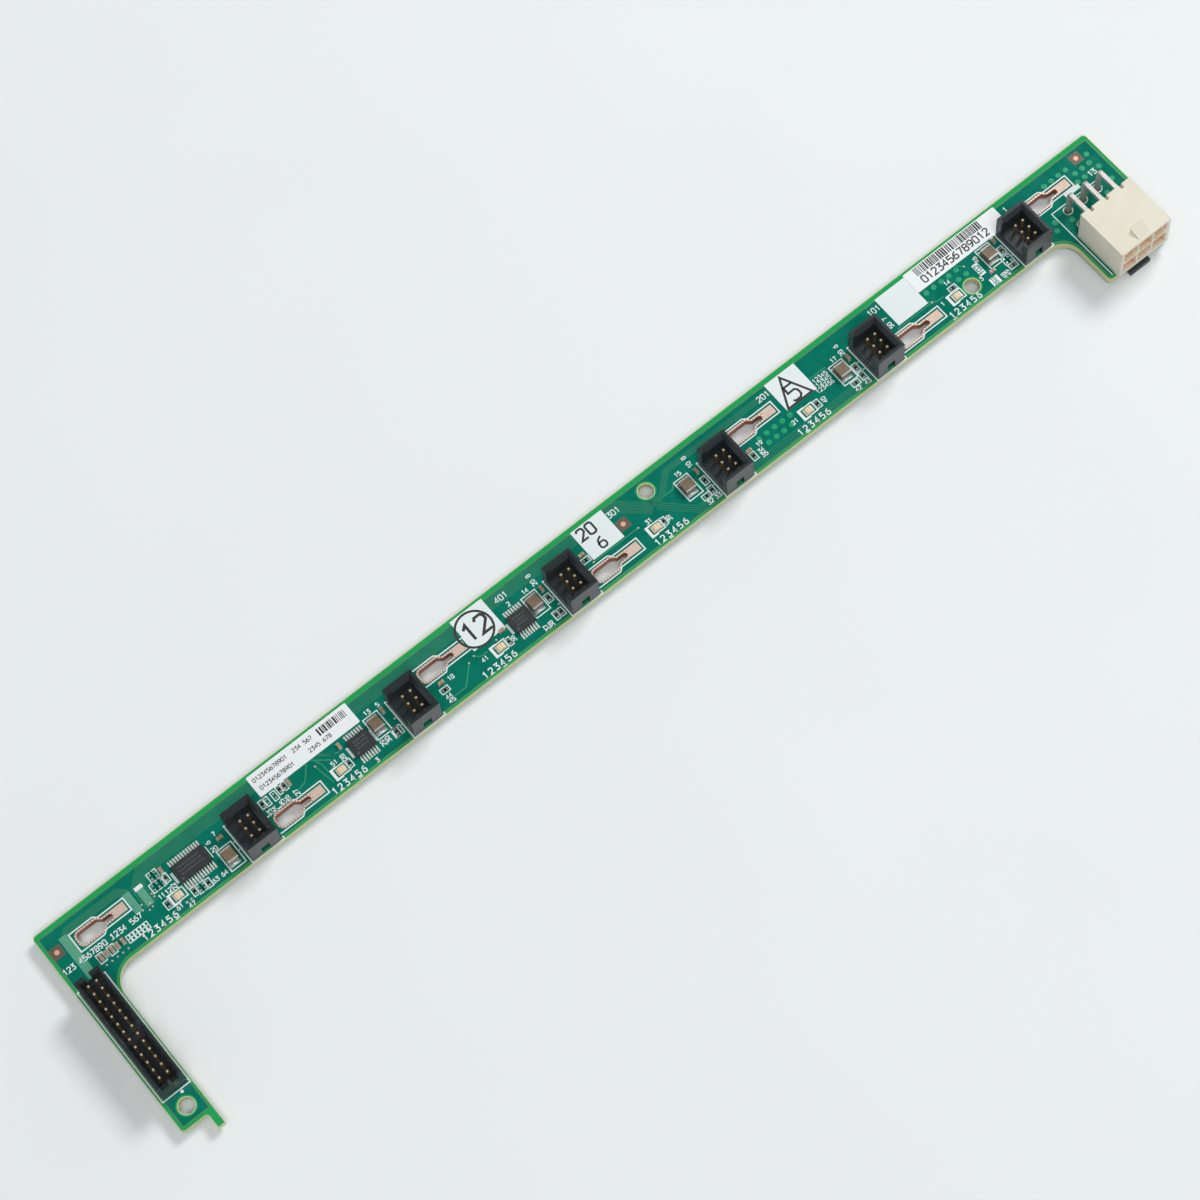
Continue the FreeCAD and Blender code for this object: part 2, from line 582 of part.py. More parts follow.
def chip_leads(x, y, leads):
    """Gull-wing leads on both long sides, from the body's parting line to the board."""
    exit_z = BOARD_TOP + CHIP_STANDOFF + CHIP_BODY_HEIGHT / 2
    foot_z = BOARD_TOP + CHIP_LEAD_THICKNESS
    root = CHIP_BODY_WIDTH / 2
    tip = root + CHIP_LEAD_REACH
    knee = tip - CHIP_LEAD_FOOT
    solids = []
    for side in (-1, 1):
        for index in range(leads):
            lead_x = x + (index - (leads - 1) / 2) * CHIP_LEAD_PITCH - CHIP_LEAD_WIDTH / 2
            profile = [(root, exit_z), (knee, exit_z), (knee, foot_z), (tip, foot_z), (tip, BOARD_TOP),
                       (knee - CHIP_LEAD_THICKNESS, BOARD_TOP), (knee - CHIP_LEAD_THICKNESS,
                                                                exit_z - CHIP_LEAD_THICKNESS),
                       (root, exit_z - CHIP_LEAD_THICKNESS)]
            points = [Vector(lead_x, y + side * across, z) for across, z in profile]
            wire = Part.makePolygon(points + points[:1])
            solids.append(Part.Face(wire).extrude(Vector(CHIP_LEAD_WIDTH, 0, 0)))
    return solids


def two_ended_part(x, y, axis, size):
    """Body and two metal ends of a small rectangular part on the board's top face."""
    half = size["length"] / 2
    inner = half - size["end"]
    top_z = BOARD_TOP + size["height"]
    spans = [(-inner, inner), (-half, -inner), (inner, half)]
    solids = []
    for low, high in spans:
        middle, length = (low + high) / 2, high - low
        if axis == "x":
            solids.append(centred_block(x + middle, y, length, size["width"], BOARD_TOP, top_z))
        else:
            solids.append(centred_block(x, y + middle, size["width"], length, BOARD_TOP, top_z))
    return solids[0], solids[1:]


def bulk_capacitor(channel):
    """Large ceramic capacitor of a channel, with rounded ends."""
    from_fan, from_front = BULK_PLACES[channel]
    y = FRONT_Y + from_front
    size = {"length": BULK_LENGTH, "width": BULK_WIDTH, "height": BULK_HEIGHT, "end": BULK_END}
    body, ends = two_ended_part(fan_x(channel) + from_fan, y, "y", size)
    rounded = []
    for end in ends:
        outward = 1 if end.CenterOfMass.y > y else -1
        face_y = y + outward * BULK_LENGTH / 2
        edges = [edge for edge in end.Edges
                 if all(abs(vertex.Point.y - face_y) < 1e-6 for vertex in edge.Vertexes)
                 and edge.CenterOfMass.z > BOARD_TOP + 1e-6]
        rounded.append(end.makeFillet(BULK_EDGE_RADIUS, edges))
    return body, rounded


def fault_led(channel):
    """Fault light: a flat base with a raised lens, and two metal ends."""
    x, y = fan_x(channel) + LED_FROM_FAN, FRONT_Y + LED_FROM_FRONT
    base_length = LED_LENGTH - 2 * LED_END
    base = centred_block(x, y, base_length, LED_WIDTH, BOARD_TOP, BOARD_TOP + LED_BASE_HEIGHT)
    lens_low = (LED_LENS_LENGTH, LED_WIDTH)
    lens_high = (LED_LENS_LENGTH - 2 * CHIP_DRAFT, LED_WIDTH - 2 * CHIP_DRAFT)
    lens = frustum(x, y, lens_low, lens_high, BOARD_TOP + LED_BASE_HEIGHT, BOARD_TOP + LED_LENS_HEIGHT)
    ends = [centred_block(x + side * (LED_LENGTH - LED_END) / 2, y, LED_END, LED_WIDTH,
                          BOARD_TOP, BOARD_TOP + LED_BASE_HEIGHT) for side in (-1, 1)]
    return base.fuse(lens).removeSplitter(), ends


def small_parts(places, size):
    """Bodies and ends of one kind of small part in every channel."""
    bodies, ends = [], []
    for channel, spots in places.items():
        for from_fan, from_front, axis in spots:
            body, caps = two_ended_part(fan_x(channel) + from_fan, FRONT_Y + from_front, axis, size)
            bodies.append(body)
            ends += caps
    return bodies, ends


def arm_capacitors():
    """Row of small capacitors beside the signal header."""
    bodies, ends = [], []
    for index in range(ARM_CAPACITOR_COUNT):
        x = ARM_CAPACITOR_X + index * ARM_CAPACITOR_PITCH
        body, caps = two_ended_part(x, FRONT_Y + ARM_CAPACITOR_FROM_FRONT, "y", SMALL_CAPACITOR)
        bodies.append(body)
        ends += caps
    return bodies, ends


def label(left, length):
    """Thin paper label with rounded corners between the plain long edge and the headers' rear."""
    low_y, high_y = FAN_SHROUD_REAR_Y + LABEL_HEADER_GAP, -LABEL_EDGE_GAP
    right = left + length
    sheet = block(left, right, low_y, high_y, BOARD_TOP, BOARD_TOP + LABEL_THICKNESS)
    corners = [(left, low_y), (right, low_y), (left, high_y), (right, high_y)]
    return round_upright_edges(sheet, corners, LABEL_CORNER_RADIUS)


# Assembly

def build_parts():
    """Every node of the board by name."""
    parts = {"circuit_board": circuit_board(), "keyhole_plating": keyhole_plating()}
    for channel in range(1, CHANNELS + 1):
        pins = pin_field(fan_pin_places(channel), FAN_PIN_TIP_HEIGHT)
        parts[f"fan_header_shroud_{channel}"] = fan_header_shroud(channel, pins)
        parts[f"fan_header_pins_{channel}"] = Part.makeCompound(pins)
    signal_pins = pin_field(signal_pin_places(), SIGNAL_PIN_TIP_HEIGHT)
    parts["signal_header_shroud"] = signal_header_shroud(signal_pins)
    parts["signal_header_pins"] = Part.makeCompound(signal_pins)
    upper = power_terminals(POWER_UPPER_ROW_Z, UPPER_LEG_FROM_REAR)
    lower = power_terminals(POWER_LOWER_ROW_Z, LOWER_LEG_FROM_REAR)
    parts["power_connector_housing"] = power_connector_housing(upper + lower)
    parts["power_terminals_upper"] = Part.makeCompound(upper)
    parts["power_terminals_lower"] = Part.makeCompound(lower)
    parts["connector_support_pad"] = connector_support_pad()
    parts["solder_joints"] = solder_joints()
    for number, (channel, from_fan, from_front, leads, end_room) in enumerate(DRIVER_CHIPS, start=1):
        x, y = fan_x(channel) + from_fan, FRONT_Y + from_front
        parts[f"driver_chip_body_{number}"] = chip_body(x, y, leads, end_room)
        parts[f"driver_chip_leads_{number}"] = Part.makeCompound(chip_leads(x, y, leads))
    led_ends = []
    for channel in range(1, CHANNELS + 1):
        body, ends = bulk_capacitor(channel)
        parts[f"bulk_capacitor_body_{channel}"] = body
        parts[f"bulk_capacitor_ends_{channel}"] = Part.makeCompound(ends)
        parts[f"fault_led_{channel}"], terminals = fault_led(channel)
        led_ends += terminals
    parts["fault_led_terminals"] = Part.makeCompound(led_ends)
    resistors, resistor_ends = small_parts(SMALL_RESISTOR_PLACES, SMALL_RESISTOR)
    capacitors, capacitor_ends = small_parts(SMALL_CAPACITOR_PLACES, SMALL_CAPACITOR)
    arm_bodies, arm_ends = arm_capacitors()
    parts["chip_resistor_bodies"] = Part.makeCompound(resistors)
    parts["chip_resistor_ends"] = Part.makeCompound(resistor_ends)
    parts["chip_capacitor_bodies"] = Part.makeCompound(capacitors + arm_bodies)
    parts["chip_capacitor_ends"] = Part.makeCompound(capacitor_ends + arm_ends)
    parts["part_label"] = label(fan_x(CHANNELS) + PART_LABEL_FROM_FAN, PART_LABEL_LENGTH)
    parts["serial_label"] = label(fan_x(1) + SERIAL_LABEL_FROM_FAN, SERIAL_LABEL_LENGTH)
    return parts


def main():
    """Write one file for each node, moved to the bar hole's axis."""
    os.makedirs("parts", exist_ok=True)
    for name, shape in build_parts().items():
        shape.translate(ORIGIN_SHIFT)
        shape.exportStep(f"parts/{name}.step")


main()
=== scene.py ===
"""Looks of a server's fan controller board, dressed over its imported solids.

The solids give the laminate, the connectors, the chips and every pin. This file adds what is too
thin to be a solid: the solder mask, the tracks under it, the white print, the stamped ink, the
solder lands and the print of the labels. It also sets every finish, the light and the camera.
Board places are in millimetres: x runs from the arm's outer edge along the bar, y is 0 on the plain
long edge and negative across the board, and heights count from the board's face.
"""

import logging
import math
import random
from dataclasses import dataclass
from enum import Enum

import bpy
from mathutils import Matrix
from mathutils import Vector
from mathutils.geometry import delaunay_2d_cdt


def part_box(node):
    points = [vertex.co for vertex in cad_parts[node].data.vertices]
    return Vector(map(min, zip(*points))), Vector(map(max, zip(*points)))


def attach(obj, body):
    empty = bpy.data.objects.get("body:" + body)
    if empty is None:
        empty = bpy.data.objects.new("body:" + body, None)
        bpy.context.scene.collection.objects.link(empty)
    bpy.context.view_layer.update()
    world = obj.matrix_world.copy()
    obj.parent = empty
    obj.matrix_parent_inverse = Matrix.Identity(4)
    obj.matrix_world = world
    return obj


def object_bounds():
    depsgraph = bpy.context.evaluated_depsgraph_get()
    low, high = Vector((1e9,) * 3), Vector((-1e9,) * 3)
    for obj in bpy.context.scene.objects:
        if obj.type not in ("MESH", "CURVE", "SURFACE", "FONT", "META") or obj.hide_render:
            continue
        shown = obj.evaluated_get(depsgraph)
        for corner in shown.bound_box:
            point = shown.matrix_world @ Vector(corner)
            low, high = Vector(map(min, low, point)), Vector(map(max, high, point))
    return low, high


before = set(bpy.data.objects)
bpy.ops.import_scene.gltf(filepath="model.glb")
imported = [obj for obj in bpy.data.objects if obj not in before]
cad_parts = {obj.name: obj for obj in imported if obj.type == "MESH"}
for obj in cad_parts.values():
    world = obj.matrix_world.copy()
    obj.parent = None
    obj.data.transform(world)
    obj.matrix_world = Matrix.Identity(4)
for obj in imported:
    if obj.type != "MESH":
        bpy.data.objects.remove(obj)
CAD_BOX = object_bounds()

LOG = logging.getLogger("fan_board")
MM = 0.001
MICRONS = 1e6
CHANNELS = (1, 2, 3, 4, 5, 6)

# Sockets of a colour mix, by number because several share a name.
MIX_SHARE = 0
MIX_FIRST = 6
MIX_SECOND = 7
MIX_RESULT = 2
# The middle of the noise, which holds nearly all of it.
NOISE_RANGE = (0.3, 0.7)
# Scale of a streak along its line, over its scale across it.
STREAK_STRETCH = 0.06
# Height of a face's normal over which the painted shade of upright faces gives way to the level colour.
PAINTED_UPRIGHT_RANGE = (0.45, 0.85)
# Openness of a place over which the painted shade of a hollow gives way to the open colour.
PAINTED_HOLLOW_RANGE = (0.28, 0.34)
# Openness of a place over which the painted glow in a hollow dies away.
PAINTED_GLOW_RANGE = (0.1, 0.8)
# How far a printed or burnt mark goes into the face under it and rises over it, in millimetres.
MARK_DEPTH = 0.01
MARK_RISE = 0.004
# Top of a solder land and of the white print, in millimetres.
LAND_HEIGHT = 0.05
PRINT_HEIGHT = 0.055
# Stroke of the plain and the bold numerals over their height.
PLAIN = 0.17
BOLD = 0.19

Point = tuple[float, float]
Loop = list[Point]
Place = tuple[float, float, float]
# An upright rectangle: its two ends along the bar, then its two ends across it.
Box = tuple[float, float, float, float]


def linear(colour: str) -> tuple[float, float, float, float]:
    """Turn an sRGB hex colour into the linear colour that a shader takes.

    Args:
        colour: The colour as "#RRGGBB".

    Returns:
        Red, green, blue and an alpha of 1.
    """
    parts = []
    for start in (1, 3, 5):
        value = int(colour[start:start + 2], 16) / 255
        if value <= 0.04045:
            parts.append(value / 12.92)
        else:
            parts.append(((value + 0.055) / 1.055) ** 2.4)
    return (parts[0], parts[1], parts[2], 1.0)


def add_node(tree: bpy.types.NodeTree, kind: str, values: dict | None = None,
             links: dict | None = None, **settings: object) -> bpy.types.Node:
    """Add one shader node with its settings and links.

    Args:
        tree: The node tree that gets the node.
        kind: Blender's name for the node.
        values: Fixed values by input socket.
        links: Output sockets by the input socket that they feed.
        settings: The node's own properties.

    Returns:
        The new node.
    """
    node = tree.nodes.new(kind)
    for name, value in settings.items():
        setattr(node, name, value)
    for socket, value in (values or {}).items():
        node.inputs[socket].default_value = value
    for socket, source in (links or {}).items():
        tree.links.new(source, node.inputs[socket])
    return node


def remap(tree: bpy.types.NodeTree, value: bpy.types.NodeSocket, start: float, stop: float,
          low: float = 0.0, high: float = 1.0) -> bpy.types.NodeSocket:
    """Stretch a value from one range to another.

    Args:
        tree: The node tree that gets the node.
        value: The socket of the value.
        start: The value that gives low.
        stop: The value that gives high.
        low: Start of the new range.
        high: End of the new range.

    Returns:
        The socket of the new value.
    """
    limits = {"From Min": start, "From Max": stop, "To Min": low, "To Max": high}
    return add_node(tree, "ShaderNodeMapRange", limits, {"Value": value}).outputs["Result"]


class Pattern(Enum):
    """How a finish varies over its face."""

    CLOUD = "slow mottling of a cast or coated film"
    GRAIN = "fine pits of a moulded or printed face"
    STREAK = "lines left by drawing or rolling"
    WEAVE = "crossed threads of glass cloth"
    PLIES = "stacked layers seen on a cut edge"


@dataclass(frozen=True)
class Finish:
    """One real material and how its surface was made."""

    name: str  # The material and how its surface was made
    colour: str  # Its main colour
    second: str  # The colour that its pattern brings in
    pattern: Pattern = Pattern.CLOUD
    pattern_mm: float = 0.4  # Real size of one mark of the pattern
    share: float = 0.6  # How far the second colour comes in, 0 to 1
    roughness: float = 0.4  # Middle of its roughness
    spread: float = 0.05  # How far the roughness varies to each side
    depth_mm: float = 0.0  # Height of the pattern on the surface
    metallic: float = 0.0  # How far it mirrors as a metal does, 0 to 1
    specular: float = 0.5  # Level of its mirror gloss
    edge_mm: float = 0.0  # Radius that its edges look rounded to
    upright: str | None = None  # Colour of the painted shade on its upright faces, where it has one
    hollow: str | None = None  # Colour of the painted shade in its hollows, where it has one
    hollow_mm: float = 1.0  # How deep a hollow has to be to show that painted shade
    glow: float = 0.0  # Strength of the painted glow that stands in for light coming through its walls into a hollow
    glow_colour: str = "#F4D8A4"  # Colour of that painted glow

    def marks(self, tree: bpy.types.NodeTree) -> bpy.types.NodeSocket:
        """Add the nodes of the pattern.

        Args:
            tree: The material's node tree.

        Returns:
            The socket that carries the pattern, from 0 to 1.
        """
        unit = 1.0 / (self.pattern_mm * MM)
        stretch = STREAK_STRETCH if self.pattern is Pattern.STREAK else 1.0
        place = add_node(tree, "ShaderNodeTexCoord").outputs["Object"]
        scaled = add_node(tree, "ShaderNodeMapping", {"Scale": (unit * stretch, unit, unit)},
                          {"Vector": place})
        links = {"Vector": scaled.outputs["Vector"]}
        # Blender's wave turns by 20 radians over each unit, so at this scale a band is one mark.
        one_mark = math.pi / 10
        if self.pattern is Pattern.WEAVE:
            threads = {}
            for socket, axis in enumerate("XY"):
                wave = add_node(tree, "ShaderNodeTexWave", {"Scale": one_mark, "Distortion": 0.6},
                                links, bands_direction=axis)
                threads[socket] = wave.outputs["Fac"]
            return add_node(tree, "ShaderNodeMath", None, threads, operation="MULTIPLY").outputs[0]
        if self.pattern is Pattern.PLIES:
            values = {"Scale": one_mark, "Distortion": 0.8, "Detail": 3.0}
            return add_node(tree, "ShaderNodeTexWave", values, links,
                            bands_direction="Z").outputs["Fac"]
        detail = 1.5 if self.pattern is Pattern.CLOUD else 4.0
        noise = add_node(tree, "ShaderNodeTexNoise",
                         {"Scale": 1.0, "Detail": detail, "Roughness": 0.55}, links)
        return remap(tree, noise.outputs["Fac"], *NOISE_RANGE)

    def tint(self, tree: bpy.types.NodeTree, colour: str, share: bpy.types.NodeSocket,
             base: bpy.types.NodeSocket) -> bpy.types.NodeSocket:
        """Put another colour in place of the base where a share is low.

        Args:
            tree: The material's node tree.
            colour: The other colour.
            share: The socket of the share, 0 to 1.
            base: The socket of the base colour.

        Returns:
            The socket of the mixed colour.
        """
        return add_node(tree, "ShaderNodeMix", {MIX_FIRST: linear(colour)},
                        {MIX_SHARE: share, MIX_SECOND: base}, data_type="RGBA").outputs[MIX_RESULT]

    def relief(self, tree: bpy.types.NodeTree,
               marks: bpy.types.NodeSocket) -> bpy.types.NodeSocket | None:
        """Add the nodes that round the edges and raise the pattern.

        Args:
            tree: The material's node tree.
            marks: The socket that carries the pattern.

        Returns:
            The socket of the new normal, or None where the face is plain.
        """
        normal = None
        if self.edge_mm > 0.0:
            normal = add_node(tree, "ShaderNodeBevel", {"Radius": self.edge_mm * MM},
                              samples=6).outputs["Normal"]
        if self.depth_mm > 0.0:
            links = {"Height": marks}
            if normal is not None:
                links["Normal"] = normal
            values = {"Strength": 0.6, "Distance": self.depth_mm * MM}
            normal = add_node(tree, "ShaderNodeBump", values, links).outputs["Normal"]
        return normal

    def material(self) -> bpy.types.Material:
        """Give the finish's material, made at its first use.

        Returns:
            The material.
        """
        made = bpy.data.materials.get(self.name)
        if made is not None:
            return made
        made = bpy.data.materials.new(self.name)
        made.use_nodes = True
        tree = made.node_tree
        tree.nodes.clear()
        marks = self.marks(tree)
        share = remap(tree, marks, 0.0, 1.0, 0.0, self.share)
        colours = {MIX_FIRST: linear(self.colour), MIX_SECOND: linear(self.second)}
        base = add_node(tree, "ShaderNodeMix", colours, {MIX_SHARE: share},
                        data_type="RGBA").outputs[MIX_RESULT]
        values = {"Metallic": self.metallic, "Specular IOR Level": self.specular}
        links = {"Roughness": remap(tree, marks, 0.0, 1.0, self.roughness - self.spread,
                                    self.roughness + self.spread)}
        # Upright faces get painted shade in place of the level colour.
        if self.upright is not None:
            normal = add_node(tree, "ShaderNodeNewGeometry").outputs["Normal"]
            rise = add_node(tree, "ShaderNodeSeparateXYZ", None, {0: normal}).outputs["Z"]
            base = self.tint(tree, self.upright, remap(tree, rise, *PAINTED_UPRIGHT_RANGE), base)
        # Hollows get a painted amber shade and a painted glow, both driven by ambient occlusion.
        if self.hollow is not None:
            openness = add_node(tree, "ShaderNodeAmbientOcclusion",
                                {"Distance": self.hollow_mm * MM}, samples=8,
                                only_local=True).outputs["AO"]
            base = self.tint(tree, self.hollow, remap(tree, openness, *PAINTED_HOLLOW_RANGE), base)
            links["Emission Strength"] = remap(tree, openness, *PAINTED_GLOW_RANGE, self.glow, 0.0)
            values["Emission Color"] = linear(self.glow_colour)
        links["Base Color"] = base
        relief = self.relief(tree, marks)
        if relief is not None:
            links["Normal"] = relief
        shader = add_node(tree, "ShaderNodeBsdfPrincipled", values, links)
        add_node(tree, "ShaderNodeOutputMaterial", None, {"Surface": shader.outputs["BSDF"]})
        return made

    def cover(self, *names: str) -> None:
        """Put the finish on solids of the frame.

        Args:
            names: The names of the solids.
        """
        for name in names:
            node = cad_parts[name]
            node.data.materials.clear()
            node.data.materials.append(self.material())
            LOG.info("dressed %s in %s", name, self.name)


# Glass cloth in epoxy, routed: yellow-grey, with its plies faintly showing on the cut edge.
LAMINATE = Finish("glass_epoxy_routed", "#D3CF9E", "#B4B684", Pattern.PLIES, share=0.5,
                  roughness=0.55, depth_mm=0.01)
# Green mask cured over bare laminate: the light comes back from the cloth, so it is bright.
# The threads are really 0.25 mm apart and are drawn at 0.5 mm so that they show.
MASK_BARE = Finish("solder_mask_over_bare_laminate", "#22A058", "#36B168", Pattern.WEAVE, 0.5,
                   share=0.55, roughness=0.12, depth_mm=0.004, specular=0.25)
# The same mask over the copper plane: deep bluish green, glossy and faintly uneven.
MASK_PLANE = Finish("solder_mask_over_copper_plane", "#08705C", "#107C69", pattern_mm=3.0,
                    share=0.7, roughness=0.11, depth_mm=0.006, specular=0.2)
# The mask over close tracks: the copper lifts it, so it is paler and browner than the plane.
MASK_TRACKS = Finish("solder_mask_over_tracks", "#337F62", "#428A6B", pattern_mm=6.0,
                     roughness=0.12, specular=0.25)
# The mask over a single track: a lone paler line.
MASK_SINGLE = Finish("solder_mask_over_single_tracks", "#3E8F68", "#4C9B75", pattern_mm=6.0,
                     roughness=0.14, specular=0.25)
# The mask over the finest bundle of tracks: a pale mint ribbon.
MASK_FINE = Finish("solder_mask_over_fine_tracks", "#74B99C", "#86C6AB", pattern_mm=6.0,
                   roughness=0.3, specular=0.3)
# Mask that plugs a via: a lighter round spot.
MASK_VIA = Finish("solder_mask_over_via", "#22996B", "#30A878", pattern_mm=0.6, roughness=0.28,
                  specular=0.3)
# The brown edge of the copper plane, seen through the mask.
PLANE_EDGE = Finish("copper_edge_under_mask", "#547F60", "#688A68", pattern_mm=1.5, roughness=0.35,
                    specular=0.3)
# Laminate seen through a mask opening, brown from a copper plane deeper down.
BARE_WINDOW = Finish("laminate_window", "#65564A", "#756456", Pattern.WEAVE, 0.5, share=0.5,
                     roughness=0.45)
# Copper under a clear preservative: pink, satin, and mottled by handling. Its upright walls are darkened
# to red-brown with painted shade.
COPPER = Finish("preserved_copper_plated", "#DEC6B9", "#CFAF9E", pattern_mm=0.8, roughness=0.55,
                spread=0.08, depth_mm=0.004, metallic=0.3, edge_mm=0.02, upright="#B06A52")
# The same copper at a keyhole's rim, darkened by heat between the solder dots.
COPPER_RIM = Finish("preserved_copper_heat_tinted", "#C4937E", "#D2A894", pattern_mm=0.5,
                    roughness=0.5, metallic=0.5)
# Bare copper, etched: the warm bright dot that a placing machine aims by.
COPPER_DOT = Finish("bare_copper_etched", "#EDBC9C", "#DDA585", pattern_mm=0.5, roughness=0.45,
                    metallic=0.3)
# Dots of solder frozen on the copper: small and bright.
STITCH = Finish("solder_dots_reflowed", "#F4EBE4", "#E6D6CB", metallic=0.3)
# White epoxy print: matt, with a fine grain.
WHITE_INK = Finish("white_epoxy_ink_screened", "#E8F0F0", "#D8E4E2", Pattern.GRAIN, 0.25,
                   roughness=0.55, share=0.4, specular=0.3)
# Black stamp ink on the white patches: uneven and greyish where it is thin.
STAMP_INK = Finish("stamping_ink_dried", "#1B1C1E", "#4A4C4F", Pattern.GRAIN, 0.35, share=0.5,
                   roughness=0.6)
# Glass-filled nylon, moulded: near black with a fine matt skin that greys at a low angle.
BLACK_PLASTIC = Finish("glass_filled_nylon_moulded", "#20272A", "#2E373B", Pattern.GRAIN, 0.12,
                       roughness=0.32, depth_mm=0.004, edge_mm=0.08)
# Natural nylon, moulded: cream and milky. The amber deep in its sockets is painted shade and their warm
# glow is painted light.
CREAM_NYLON = Finish("natural_nylon_moulded", "#E2DDCC", "#DCD5C0", pattern_mm=4.0, roughness=0.42,
                     depth_mm=0.004, edge_mm=0.14, hollow="#BA6C0C", hollow_mm=6.0, glow=0.14)
# Gold flash on drawn brass wire. The near-white tips are partly painted highlight, and the dull brown
# down the sides is painted shade.
GOLD = Finish("gold_flash_on_brass_drawn", "#FFF4D6", "#F2DDA8", roughness=0.28, metallic=0.5,
              edge_mm=0.04, upright="#8C6E34")
# Matt tin on stamped brass: silver-grey with rolling lines.
TIN = Finish("matt_tin_plated", "#C9C5C1", "#B3AFAA", Pattern.STREAK, 0.12, roughness=0.42,
             spread=0.08, metallic=0.5, edge_mm=0.05)
# Tin on formed copper leads: bright and faintly mottled.
LEAD_TIN = Finish("tin_plated_leads_formed", "#F0F0ED", "#D6D6D2", pattern_mm=0.3, roughness=0.35,
                  metallic=0.4)
# Solder that flowed and froze: bright, with a slightly uneven skin.
SOLDER = Finish("solder_reflowed", "#E6E7E5", "#CDCFCD", pattern_mm=0.3, roughness=0.36,
                spread=0.08, depth_mm=0.004, metallic=0.6)
# Painted shade: a dark disc in the mouth of a soldered hole.
PAINTED_JOINT_SHADE = Finish("painted_shade_in_solder_joints", "#39443D", "#565744", share=0.7, roughness=0.3)
# Foam rubber, cut: dull black with open pores.
RUBBER = Finish("foam_rubber_cut", "#33373B", "#454A4E", Pattern.GRAIN, 0.35, share=0.7,
                roughness=0.6, depth_mm=0.02)
# Filled epoxy, transfer moulded: charcoal with a fine matt skin.
CHIP_EPOXY = Finish("filled_epoxy_moulded", "#1E2224", "#363B3E", Pattern.GRAIN, 0.3, share=0.7,
                    roughness=0.5, depth_mm=0.004, edge_mm=0.06)
# The charcoal skin burnt lighter by a laser.
CHIP_MARK = Finish("filled_epoxy_laser_burnt", "#43484B", "#54595C", Pattern.GRAIN, 0.2,
                   roughness=0.7)
# Fired barium titanate: warm brown-grey, smooth and slightly mottled. Its side faces are darkened with
# painted shade.
CERAMIC = Finish("capacitor_ceramic_fired", "#75644F", "#83725C", pattern_mm=0.7, edge_mm=0.08,
                 upright="#54493D")
# Fired ceramic of the small capacitors: a paler tan mix.
SMALL_CERAMIC = Finish("small_capacitor_ceramic_fired", "#A3835A", "#B4956A", edge_mm=0.06)
# Tin over fired silver at a part's end: smooth and bright with soft edges. Its upright end faces are
# darkened with a painted reflection of the board.
TIN_END = Finish("tin_over_fired_silver", "#E6E4DF", "#CFCCC6", roughness=0.25, metallic=0.6,
                 edge_mm=0.06, upright="#7C756E")
# Tin over nickel on a resistor's end: dull grey.
RESISTOR_END = Finish("tin_over_nickel_plated", "#A09B92", "#87827A", pattern_mm=0.3, metallic=0.5,
                      edge_mm=0.04)
# Black glass glaze over a printed resistor.
GLAZE = Finish("resistor_glaze_fired", "#16181A", "#26292C", pattern_mm=0.3, share=0.5,
               roughness=0.22, edge_mm=0.05)
# Cast epoxy of a lamp: cream and milky.
LAMP_EPOXY = Finish("milky_epoxy_cast", "#F0E3C6", "#E6D4AE", pattern_mm=0.6, roughness=0.25,
                    edge_mm=0.06)
# The amber that shows where the lamp's chip and lead frame lie under its epoxy.
LAMP_AMBER = Finish("amber_epoxy_cast", "#DCB578", "#E6C996", pattern_mm=0.3, roughness=0.22)
# Silver fired on the lamp's ends: pale and matt.
LAMP_END = Finish("fired_silver_ends", "#F2EDE1", "#DCD4C3", pattern_mm=0.3, metallic=0.4)
# Coated label paper, die cut: white and smooth with a faint fibre.
PAPER = Finish("coated_label_paper", "#F1F5F6", "#E4E9EA", Pattern.GRAIN, 0.6, share=0.5,
               roughness=0.42, depth_mm=0.003)
# Heat-printed black on the paper.
LABEL_INK = Finish("thermal_print", "#202224", "#3A3C3F", Pattern.GRAIN, 0.2, share=0.5,
                   roughness=0.5)
# Seamless studio paper.
STUDIO_PAPER = Finish("studio_paper_rolled", "#EDF1F2", "#EAEEF0", pattern_mm=60.0, share=0.5,
                      roughness=0.8, specular=0.1)


@dataclass(frozen=True)
class Span:
    """The upright box of one solid, in board millimetres."""

    x0: float  # Its low end along the bar
    x1: float  # Its high end along the bar
    y0: float  # Its low end across the bar
    y1: float  # Its high end across the bar
    z1: float  # Its top over the board's face

    @property
    def x(self) -> float:
        """Middle along the bar."""
        return (self.x0 + self.x1) / 2

    @property
    def y(self) -> float:
        """Middle across the bar."""
        return (self.y0 + self.y1) / 2

    @property
    def along(self) -> float:
        """Length along the bar."""
        return self.x1 - self.x0

    @property
    def across(self) -> float:
        """Length across the bar."""
        return self.y1 - self.y0

    def nearest(self, others: list["Span"]) -> "Span":
        """Give the box whose middle is nearest to this one's."""
        return min(others, key=lambda other: (other.x - self.x) ** 2 + (other.y - self.y) ** 2)


def signed_area(loop: Loop) -> float:
    """Give a loop's area, positive where it runs anticlockwise.

    Args:
        loop: Its points in order.

    Returns:
        The area in square millimetres.
    """
    total = 0.0
    for (ax, ay), (bx, by) in zip(loop, loop[1:] + loop[:1]):
        total += ax * by - bx * ay
    return total / 2


def anticlockwise(loop: Loop) -> Loop:
    """Give a loop turned to run anticlockwise."""
    return loop if signed_area(loop) > 0 else loop[::-1]


